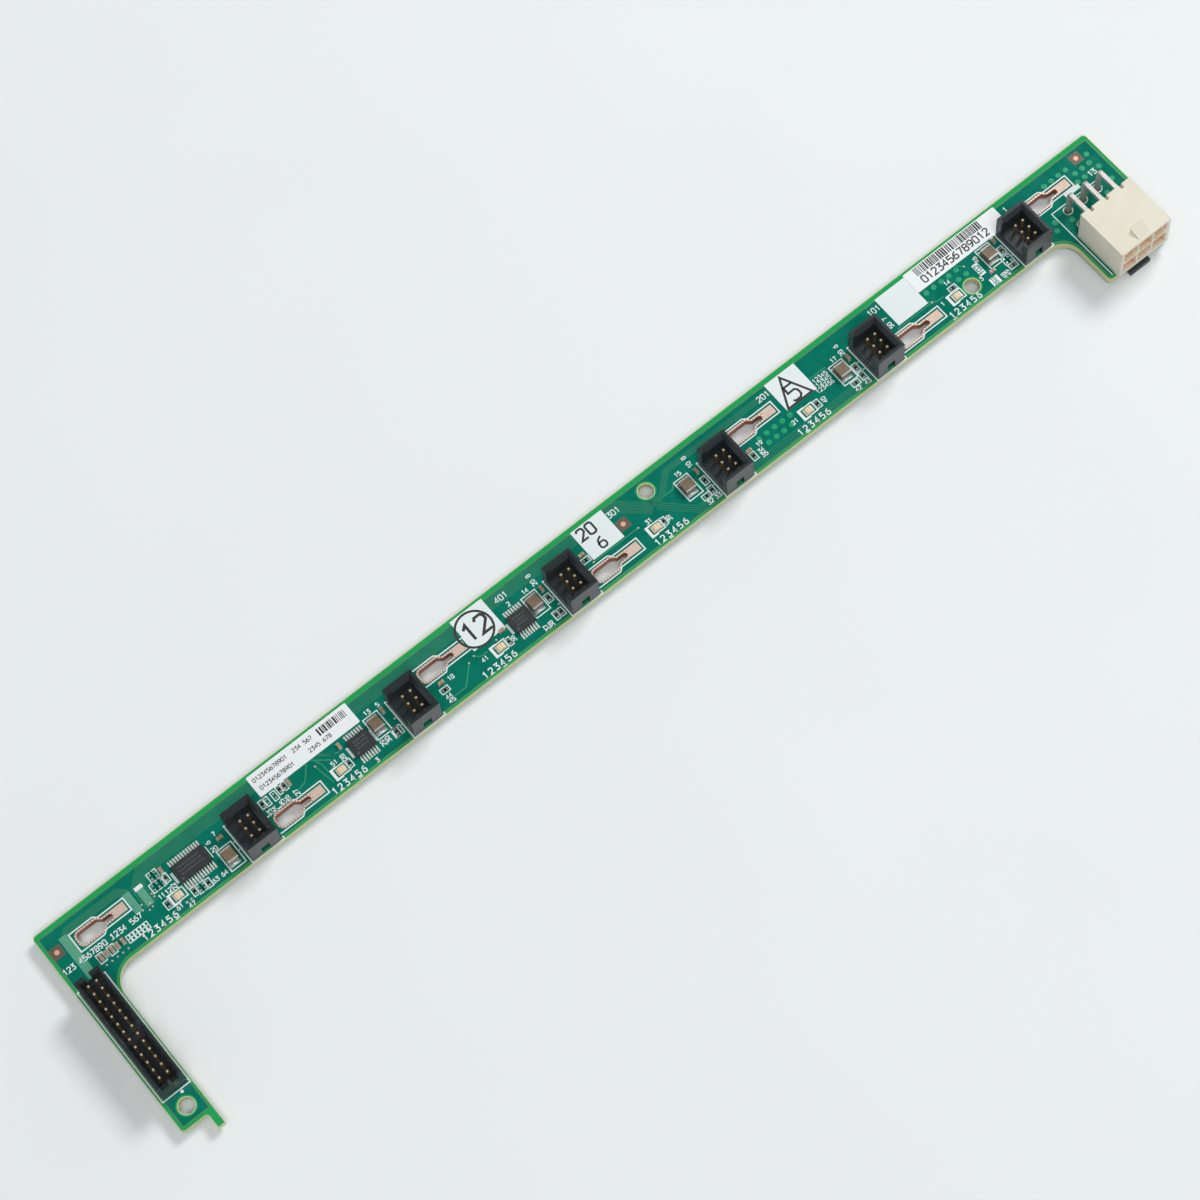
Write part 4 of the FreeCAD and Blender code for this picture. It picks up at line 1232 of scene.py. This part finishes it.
@dataclass
class DriverChips(SubAssembly):
    """The three gull-wing chips with their lands, marks and white bars."""

    land_width: float = 0.4
    land_reach: float = 0.5  # How far a land goes beyond the lead's foot
    land_under: float = 0.7  # How far a land goes under the lead
    # The white bar at the first lead's end, from the middle of the body's end.
    bar: Box = (-0.75, -0.2, -1.35, 1.35)
    line_width: float = 0.2
    line_room: float = 0.4  # Gap from the body to that line
    line_half: float = 1.5  # Half length of that line
    rows: Place = (1.0, 0.15, -0.7)  # Places of the rows of dashes on a chip's top, from its middle
    row_start: float = 1.0  # Where a row starts, from the body's end
    row_stop: float = 1.3  # How near the body's other end a dash may start
    dash_lengths: Point = (0.25, 0.6)  # Shortest and longest dash
    dash_half: float = 0.2  # Half height of a dash
    dash_gap: float = 0.2
    dot_place: Point = (0.75, 0.7)  # Place of the first lead's dot, from the body's corner
    dot_radius: float = 0.32  # Radius of that dot

    def dress(self) -> None:
        """Finish the chips and lay what is round them."""
        lands = Film(self.board, 0.0, LAND_HEIGHT)
        half = self.land_width / 2
        for number in (1, 2, 3):
            CHIP_EPOXY.cover(f"driver_chip_body_{number}")
            LEAD_TIN.cover(f"driver_chip_leads_{number}")
            body = self.board.span(f"driver_chip_body_{number}")
            for lead in self.board.spans(f"driver_chip_leads_{number}"):
                if lead.y > body.y:
                    lands.slab(lead.x - half, lead.x + half, lead.y1 - self.land_under,
                               lead.y1 + self.land_reach)
                else:
                    lands.slab(lead.x - half, lead.x + half, lead.y0 - self.land_reach,
                               lead.y0 + self.land_under)
            line = body.x1 + self.line_room
            self.white.slabs(body.x0, body.y, (self.bar,))
            self.white.line([(line, body.y - self.line_half), (line, body.y + self.line_half)],
                            self.line_width)
            self.mark(number, body)
        lands.piece("chip_lands", LEAD_TIN, "solder")

    def mark(self, number: int, body: Span) -> None:
        """Burn plain dashes and the first lead's dot into a chip's top.

        Args:
            number: The chip's number, which also seeds its dashes.
            body: The box of its body.
        """
        marks = Film(self.board, body.z1 - MARK_DEPTH, body.z1 + MARK_RISE)
        chance = random.Random(number)
        for row in self.rows:
            y = body.y + row
            x = body.x0 + self.row_start
            while x < body.x1 - self.row_stop:
                step = chance.uniform(*self.dash_lengths)
                marks.slab(x, x + step, y - self.dash_half, y + self.dash_half)
                x += step + self.dash_gap
        marks.disc(body.x0 + self.dot_place[0], body.y0 + self.dot_place[1], self.dot_radius)
        marks.piece(f"driver_chip_marks_{number}", CHIP_MARK, "chip_epoxy")


class Fillets(Layer):
    """Concave ramps of solder at the ends of the surface parts."""

    # Distance out and height along the ramp, over its full reach and height.
    PROFILE = ((0.0, 1.0), (0.12, 0.62), (0.32, 0.32), (0.62, 0.12), (1.0, 0.02))
    # How much wider the ramp is at its foot than at the part.
    FLARE = 0.12

    def ramp(self, end: Span, outward: Point, height: float, reach: float) -> None:
        """Add the ramp in front of one end.

        Args:
            end: The box of the part's metal end.
            outward: Unit step away from the part.
            height: How far the solder climbed, in millimetres.
            reach: How far it flowed out, in millimetres.
        """
        ox, oy = outward
        face_x = end.x + ox * end.along / 2
        face_y = end.y + oy * end.across / 2
        half = (end.across if ox else end.along) / 2
        base = len(self.points)
        for out, up in self.PROFILE:
            wide = half * (1.0 + self.FLARE * out)
            x = face_x + ox * out * reach
            y = face_y + oy * out * reach
            for z in (up * height, 0.0):
                self.points.append(self.board.row(x - oy * wide, y + ox * wide, z))
                self.points.append(self.board.row(x + oy * wide, y - ox * wide, z))
        for i in range(len(self.PROFILE) - 1):
            a = base + 4 * i
            b = a + 4
            self.faces.append((a + 1, a, b, b + 1))
            self.faces.append((a, a + 2, b + 2, b))
            self.faces.append((a + 3, a + 1, b + 1, b + 3))


@dataclass
class SmallParts(SubAssembly):
    """The capacitors and resistors with their solder, empty lands and white frames."""

    bulk_shift: float = 0.25  # How far a large capacitor's frame lies past its middle
    bulk_half: float = 1.8  # Half width of that frame
    bulk_front: float = 2.75  # How far it reaches toward the front edge
    bulk_rear: float = 2.7  # How far it reaches toward the plain edge
    bulk_line: float = 0.24  # Width of its line
    bulk_solder: float = 0.45  # How far the solder climbed and flowed at a large capacitor
    climb: float = 0.5  # How far the solder climbed at a small part, over the part's height
    flow: float = 0.06  # How far the solder flowed at a small part
    land_room: float = 0.02  # How far a land shows beside a part's end
    land_past: float = 0.04  # How far a land shows past the solder
    frame_width: float = 0.21  # Width of a small part's frame
    frame_ends: float = 0.7  # Gap from a small body to its frame over the metal ends
    frame_sides: float = 0.38  # Gap from a small body to its frame at its sides
    # The two lands of an empty place, from its middle.
    empty_lands: tuple[Box, ...] = ((-0.2, 0.2, -0.66, -0.34), (-0.2, 0.2, 0.34, 0.66))
    empty_frame: Point = (0.55, 1.05)  # Half sizes of its frame
    ladder_steps: int = 6  # How many small frames stand in the row by the arm
    ladder_start: float = 15.2  # Where that row starts
    ladder_pitch: float = 0.9  # Spacing of its frames
    ladder_half: float = 0.34  # Half width of a frame of that row
    ladder_rows: Place = (-13.85, -13.0, -12.15)  # Front, middle and rear of those frames
    ladder_line: float = 0.2  # Width of their lines

    def dress(self) -> None:
        """Finish the parts and lay what is round them."""
        SMALL_CERAMIC.cover("chip_capacitor_bodies")
        GLAZE.cover("chip_resistor_bodies")
        TIN_END.cover("chip_capacitor_ends")
        RESISTOR_END.cover("chip_resistor_ends")
        lands = Film(self.board, 0.0, LAND_HEIGHT)
        solder = Fillets(self.board)
        for channel in CHANNELS:
            CERAMIC.cover(f"bulk_capacitor_body_{channel}")
            TIN_END.cover(f"bulk_capacitor_ends_{channel}")
            body = self.board.span(f"bulk_capacitor_body_{channel}")
            middle = body.x + self.bulk_shift
            self.white.frame(middle - self.bulk_half, middle + self.bulk_half,
                             body.y - self.bulk_front, body.y + self.bulk_rear, self.bulk_line)
            for end in self.board.spans(f"bulk_capacitor_ends_{channel}"):
                self.solder_end(lands, solder, end, body, self.bulk_solder, self.bulk_solder)
        for kind in ("capacitor", "resistor"):
            bodies = self.board.spans(f"chip_{kind}_bodies")
            ends = self.board.spans(f"chip_{kind}_ends")
            for end in ends:
                self.solder_end(lands, solder, end, end.nearest(bodies), self.climb * end.z1, self.flow)
            # Every resistor has a frame, and so have the first and third capacitor by the arm.
            for body in bodies if kind == "resistor" else bodies[0:3:2]:
                self.frame_part(body, body.nearest(ends))
        self.lay_empty(lands)
        lands.piece("part_lands", SOLDER, "solder")
        solder.piece("part_solder", SOLDER, "solder").data.shade_smooth()

    def solder_end(self, lands: Film, solder: Fillets, end: Span, body: Span, height: float,
                   reach: float) -> None:
        """Lay the land and the solder of one end.

        Args:
            lands: The film of lands.
            solder: The solder ramps.
            end: The box of the part's metal end.
            body: The box of its body.
            height: How far the solder climbed, in millimetres.
            reach: How far it flowed out, in millimetres.
        """
        dx = end.x - body.x
        dy = end.y - body.y
        ox = math.copysign(1.0, dx) if abs(dx) > abs(dy) else 0.0
        oy = 0.0 if ox else math.copysign(1.0, dy)
        room = self.land_room
        out = reach + self.land_past
        lands.slab(end.x0 - room + min(ox, 0.0) * out, end.x1 + room + max(ox, 0.0) * out,
                   end.y0 - room + min(oy, 0.0) * out, end.y1 + room + max(oy, 0.0) * out)
        solder.ramp(end, (ox, oy), height, reach)

    def frame_part(self, body: Span, end: Span) -> None:
        """Draw the white frame round one small part.

        Args:
            body: The box of the part's body.
            end: The box of one of its metal ends.
        """
        lies_along = abs(end.x - body.x) > abs(end.y - body.y)
        half_x = body.along / 2 + (self.frame_ends if lies_along else self.frame_sides)
        half_y = body.across / 2 + (self.frame_sides if lies_along else self.frame_ends)
        self.white.frame(body.x - half_x, body.x + half_x, body.y - half_y, body.y + half_y,
                         self.frame_width)

    def lay_empty(self, lands: Film) -> None:
        """Lay the lands and the frames of the places that carry no part.

        Args:
            lands: The film of lands.
        """
        places = [(26.2, -5.3), (27.3, -5.3), (25.3, -7.5), (26.4, -7.5), (27.5, -7.5), (32.4, -13.65),
                  (33.5, -13.65), (54.0, -7.6), (55.95, -7.6), (83.2, -12.75), (84.3, -12.75),
                  (249.4, -12.4), (250.5, -12.4)]
        frame_x, frame_y = self.empty_frame
        for x, y in places:
            lands.slabs(x, y, self.empty_lands)
            self.white.frame(x - frame_x, x + frame_x, y - frame_y, y + frame_y, self.frame_width)
        for x0, x1 in ((28.49, 29.01), (29.59, 30.11)):
            lands.slab(x0, x1, -14.6, -14.05)
        front, middle, rear = self.ladder_rows
        for i in range(self.ladder_steps):
            x = self.ladder_start + i * self.ladder_pitch
            x0 = x - self.ladder_half
            x1 = x + self.ladder_half
            self.white.frame(x0, x1, front, rear, self.ladder_line)
            self.white.line([(x0, middle), (x1, middle)], self.ladder_line)
        self.white.slab(22.0, 23.9, -5.85, -4.95)


@dataclass
class FaultLamps(SubAssembly):
    """The six fault lamps, the white mark of each and the number scale under it."""

    amber_foot: float = 0.5  # Bottom of the amber film in a lamp
    amber_rise: float = 0.006  # How far the amber rises over the lamp's top
    # The two bars of amber, from the lamp's middle.
    amber_bars: tuple[Box, ...] = ((-0.42, -0.2, -0.5, 0.5), (0.2, 0.42, -0.5, 0.5))
    # The heavy end of the lamp's white frame, from the lamp's middle.
    heavy_end: tuple[Box, ...] = ((-2.1, -1.45, -1.4, 1.5), (-1.45, -0.4, 1.1, 1.5),
                                  (-1.45, -0.3, -1.4, -0.96))
    # The line that closes the frame, from the lamp's middle.
    light_end: tuple[Point, ...] = ((-0.4, 1.25), (1.7, 1.25), (1.7, -1.05), (-0.3, -1.05))
    line_width: float = 0.26
    # The mark under the lamp's own number, from the number's foot.
    underline: Box = (-0.1, 0.9, -0.45, -0.25)
    scale_height: float = 1.35
    scale_pitch: float = 1.5
    scale_foot: float = -15.5  # Foot of the numerals across the bar
    # Where each channel's scale starts.
    scale_starts: tuple[float, ...] = (231.8, 189.5, 150.6, 104.7, 65.6, 17.5)

    def dress(self) -> None:
        """Finish the lamps, lay their amber and print round them."""
        LAMP_END.cover("fault_led_terminals")
        amber = Film(self.board, self.amber_foot, self.amber_foot)
        for channel, start in zip(CHANNELS, self.scale_starts):
            LAMP_EPOXY.cover(f"fault_led_{channel}")
            lamp = self.board.span(f"fault_led_{channel}")
            amber.high = lamp.z1 + self.amber_rise
            amber.slabs(lamp.x, lamp.y, self.amber_bars)
            self.white.slabs(lamp.x, lamp.y, self.heavy_end)
            self.white.line([(lamp.x + x, lamp.y + y) for x, y in self.light_end], self.line_width)
            for i, number in enumerate(CHANNELS):
                x = start + i * self.scale_pitch
                self.white.number(str(number), x, self.scale_foot, self.scale_height, BOLD)
                if number == channel:
                    self.white.slabs(x, self.scale_foot, (self.underline,))
        amber.piece("fault_lamp_amber", LAMP_AMBER, "led_lens")


@dataclass
class InkPatches(SubAssembly):
    """The four white patches of the bar, three of them stamped with a plain number."""

    height: float = 0.06  # Height of the white ink
    stamp_rise: float = 0.006  # Height of the stamped ink over it
    stroke: float = 0.52  # Width of a stamp's line
    # The ends of each patch along and across the bar.
    patches: tuple[Box, ...] = (
        (106.62, 114.92, -9.16, -0.75), (138.3, 146.58, -9.26, -1.3),
        (191.05, 199.19, -9.25, -1.41), (222.05, 230.27, -9.25, -1.22),
    )
    ring: Place = (109.7, -5.3, 4.1)  # Middle and radius of the stamped ring
    # Corners of the stamped triangle.
    triangle: tuple[Point, ...] = ((191.5, -9.0), (198.1, -9.0), (194.75, -2.1))
    # Each stamped number, its place, height and weight.
    numbers: tuple[tuple[str, float, float, float, float], ...] = (
        ("12", 107.2, -7.3, 4.0, 0.16), ("20", 139.2, -4.5, 2.7, 0.18),
        ("6", 141.4, -8.4, 2.6, 0.17), ("5", 193.6, -8.5, 3.9, 0.13),
    )

    def dress(self) -> None:
        """Screen the patches and stamp them."""
        white = Film(self.board, 0.0, self.height)
        for patch in self.patches:
            white.slab(*patch)
        white.piece("white_patches", WHITE_INK)
        stamps = Film(self.board, self.height, self.height + self.stamp_rise)
        stamps.line(circle(*self.ring, sides=48), self.stroke, closed=True)
        stamps.line(list(self.triangle), self.stroke, closed=True)
        for number in self.numbers:
            stamps.number(*number)
        stamps.piece("stamped_numbers", STAMP_INK)


@dataclass
class PaperLabels(SubAssembly):
    """The two paper labels, with plain stripes and rows of numerals for print."""

    print_height: float = 0.006  # Height of the print on the paper
    part_height: float = 0.85  # Height of the numerals on the part label
    serial_height: float = 1.7  # Height of the numerals on the serial label
    stripe_widths: tuple[float, ...] = (0.16, 0.2, 0.3, 0.42)
    stripe_gaps: tuple[float, ...] = (0.14, 0.18, 0.3)
    stripe_margin: float = 0.4  # How near its end a row of stripes may start its last one

    def dress(self) -> None:
        """Finish the paper and print it."""
        PAPER.cover("part_label", "serial_label")
        part = self.board.span("part_label")
        ink = Film(self.board, part.z1, part.z1 + self.print_height)
        self.stripes(ink, (70.9, 78.2, part.y1 - 2.6, part.y1 - 0.8), seed=11)
        for text, x, down in (("012345678901  234 567", 54.4, 1.95), ("012345678901", 54.7, 4.15),
                              ("2345 678", 67.2, 4.15)):
            ink.number(text, x, part.y1 - down, self.part_height, BOLD)
        ink.piece("part_label_print", LABEL_INK)
        serial = self.board.span("serial_label")
        code = Film(self.board, serial.z1, serial.z1 + self.print_height)
        self.stripes(code, (232.8, 251.4, serial.y1 - 2.3, serial.y1 - 0.2), seed=15)
        code.number("0123456789012", 233.0, serial.y1 - 4.45, self.serial_height, BOLD)
        code.piece("serial_label_print", LABEL_INK)

    def stripes(self, ink: Film, box: Box, seed: int) -> None:
        """Print upright stripes of uneven width.

        Args:
            ink: The film of print.
            box: The rectangle that they fill.
            seed: Seed of their widths and gaps.
        """
        chance = random.Random(seed)
        x, x1, y0, y1 = box
        while x < x1 - self.stripe_margin:
            width = chance.choice(self.stripe_widths)
            ink.slab(x, x + width, y0, y1)
            x += width + chance.choice(self.stripe_gaps)


@dataclass
class BoardNumbers(SubAssembly):
    """The small plain numerals printed beside the parts."""

    height: float = 0.92  # Height of a numeral
    weight: float = 0.21  # Width of a stroke over the height
    large: float = 1.25  # Height of the large numerals at the headers
    gap_large: float = 1.05  # Height of the turned numerals left open in a white block
    gap_small: float = 0.75  # Height of the other numerals left open in one

    def dress(self) -> None:
        """Print the numerals."""
        level = [
            ("11", 24.9, -10.4), ("12", 26.6, -10.4), ("61", 26.4, -14.6), ("47", 28.7, -15.8),
            ("63", 35.4, -14.7), ("64", 37.6, -14.7), ("7", 41.2, -6.6), ("20", 39.0, -9.2),
            ("51", 68.9, -10.3), ("3", 76.5, -15.5), ("13", 80.7, -5.9), ("5", 83.8, -5.9),
            ("18", 98.7, -11.0), ("44", 95.9, -14.0), ("45", 95.9, -15.1), ("41", 106.6, -12.4),
            ("2", 118.3, -5.9), ("14", 122.3, -5.9), ("31", 151.9, -10.3), ("15", 163.4, -5.9),
            ("32", 164.7, -15.2), ("33", 166.8, -15.2), ("19", 181.0, -11.6), ("34", 180.3, -13.0),
            ("35", 180.3, -14.2), ("21", 190.0, -12.6), ("17", 205.5, -6.8), ("42", 205.2, -15.4),
            ("43", 207.8, -15.4), ("1", 232.2, -11.9), ("14", 235.8, -8.7), ("3", 242.4, -12.7),
        ]
        for text, x, y in level:
            self.white.number(text, x, y, self.height, self.weight)
        for text, x, y in (("12345", 199.5, -8.0), ("12345", 199.5, -9.2), ("123456", 198.6, -10.4)):
            self.white.number(text, x, y, self.height)
        turned = [
            ("22", 29.2, -10.6), ("6", 39.9, -7.2), ("23", 53.6, -10.6), ("24", 54.7, -10.6),
            ("25", 56.8, -10.5), ("26", 58.1, -10.5), ("27", 60.3, -10.6), ("28", 72.2, -10.7),
            ("29", 80.4, -13.6), ("30", 81.7, -13.6), ("36", 115.0, -12.9), ("37", 121.8, -15.4),
            ("38", 123.1, -15.4), ("20 8", 126.0, -5.8), ("39", 156.8, -12.7), ("10 8", 167.8, -6.0),
            ("40", 199.1, -12.9), ("20 6", 209.0, -6.9), ("46", 245.2, -8.7), ("48", 247.4, -15.5),
            ("49", 248.5, -15.5), ("50 7", 221.2, -8.7),
        ]
        for text, x, y in turned:
            self.white.number(text, x, y, self.height, self.weight, turned=True)
        large = [("401", 116.8, -3.85), ("301", 146.75, -4.05), ("201", 187.8, -3.9),
                 ("101", 218.8, -3.7), ("1", 257.2, -3.7)]
        for text, x, y in large:
            self.white.number(text, x, y, self.large)
        # Two solid blocks of print, with numerals left open in them.
        self.white.slab(243.0, 244.5, -11.8, -8.6)
        self.white.slab(243.6, 245.8, -15.5, -13.5)
        gaps = Film(self.board, self.white.high - MARK_DEPTH, self.white.high + MARK_RISE)
        gaps.number("102", 244.25, -11.5, self.gap_large, self.weight, turned=True)
        gaps.number("10", 243.95, -14.4, self.gap_small, self.weight)
        gaps.number("20", 243.95, -15.4, self.gap_small, self.weight)
        gaps.piece("print_gaps", MASK_PLANE, "board_laminate")


@dataclass
class Studio:
    """The pale floor and the soft light."""

    floor_side: float = 9.0
    room: float = 0.38  # Strength of the world
    room_colour: str = "#FBFDFF"  # Colour of the world
    gap: float = 0.05  # Strength of the world in the dark gap that the glossy mask faces
    gap_toward: Place = (0.2, 0.36, 0.91)  # Direction of that gap
    gap_inner_deg: float = 16.0  # Half angle within which the gap is darkest
    gap_outer_deg: float = 38.0  # Half angle at which it ends
    # Each lamp's name, its place, its side and its power in watts.
    lamps: tuple[tuple[str, Place, float, float], ...] = (
        ("main_lamp", (1.2, 0.28, 1.45), 0.62, 17.6),
        ("fill_lamp", (-0.72, -1.44, 3.2), 1.6, 48.0),
    )

    def build(self) -> None:
        """Build the floor, the world and the lamps."""
        half = self.floor_side / 2
        corners = [Vector((x, y, CAD_BOX[0].z)) for x, y in box_loop(-half, half, -half, half)]
        floor = add_mesh("floor", corners, [(0, 1, 2, 3)], STUDIO_PAPER)
        self.light_world()
        for name, place, side, power in self.lamps:
            lamp = bpy.data.lights.new(name, "AREA")
            lamp.energy = power
            lamp.size = side
            holder = bpy.data.objects.new(name, lamp)
            holder.location = place
            holder.rotation_mode = "QUATERNION"
            holder.rotation_quaternion = (-Vector(place)).to_track_quat("-Z", "Y")
            bpy.context.scene.collection.objects.link(holder)
        LOG.info("built the studio")

    def light_world(self) -> None:
        """Light the world evenly but for its dark gap."""
        world = bpy.data.worlds.new("soft_room")
        world.use_nodes = True
        tree = world.node_tree
        tree.nodes.clear()
        place = add_node(tree, "ShaderNodeTexCoord").outputs["Generated"]
        toward = add_node(tree, "ShaderNodeVectorMath", {1: Vector(self.gap_toward).normalized()},
                          {0: place}, operation="DOT_PRODUCT").outputs["Value"]
        strength = remap(tree, toward, math.cos(math.radians(self.gap_outer_deg)),
                         math.cos(math.radians(self.gap_inner_deg)), self.room, self.gap)
        light = add_node(tree, "ShaderNodeBackground", {"Color": linear(self.room_colour)},
                         {"Strength": strength})
        add_node(tree, "ShaderNodeOutputWorld", None, {"Surface": light.outputs["Background"]})
        bpy.context.scene.world = world


@dataclass
class PhotoCamera:
    """The camera at the photograph's viewing angle."""

    place_mm: Place = (-162.363, -249.736, 654.641)  # Where it stands
    aim_mm: Place = (-22.891, -13.134, 1.6)  # The point in the middle of its view
    roll_deg: float = -9.1475  # Its turn about the line of sight
    focal_px: float = 3419.62  # Its focal length in pixels of the photograph
    frame_px: float = 1200.0  # Width of the photograph in pixels
    sensor_mm: float = 36.0
    clip_m: Point = (0.01, 50.0)  # Nearest and farthest distance that it sees

    def build(self) -> None:
        """Build the camera and make it the scene's own."""
        place = Vector(self.place_mm) * MM
        sight = Vector(self.aim_mm) * MM - place
        level = sight.to_track_quat("-Z", "Y").to_matrix().to_4x4()
        data = bpy.data.cameras.new("photo_camera")
        data.sensor_width = self.sensor_mm
        data.lens = self.focal_px * self.sensor_mm / self.frame_px
        # The places were read at the corners of pixels, so the view moves by half a pixel.
        data.shift_x = -0.5 / self.frame_px
        data.shift_y = 0.5 / self.frame_px
        data.clip_start, data.clip_end = self.clip_m
        camera = bpy.data.objects.new("photo_camera", data)
        camera.matrix_world = (Matrix.Translation(place) @ level
                               @ Matrix.Rotation(math.radians(self.roll_deg), 4, "Z"))
        bpy.context.scene.collection.objects.link(camera)
        bpy.context.scene.camera = camera
        LOG.info("built the camera")


def main() -> None:
    """Build the camera, the studio and every sub-assembly in order."""
    logging.basicConfig(level=logging.INFO, format="%(message)s")
    bpy.context.scene.view_settings.view_transform = "Standard"
    PhotoCamera().build()
    Studio().build()
    board = BoardFrame()
    white = Film(board, 0.0, PRINT_HEIGHT)
    for kind in (CircuitBoard, Keyholes, FanHeaders, SignalHeader, PowerConnector, DriverChips,
                 SmallParts, FaultLamps, BoardNumbers, InkPatches, PaperLabels):
        kind(board, white).dress()
    white.piece("white_print", WHITE_INK)


if __name__ == "__main__":
    main()
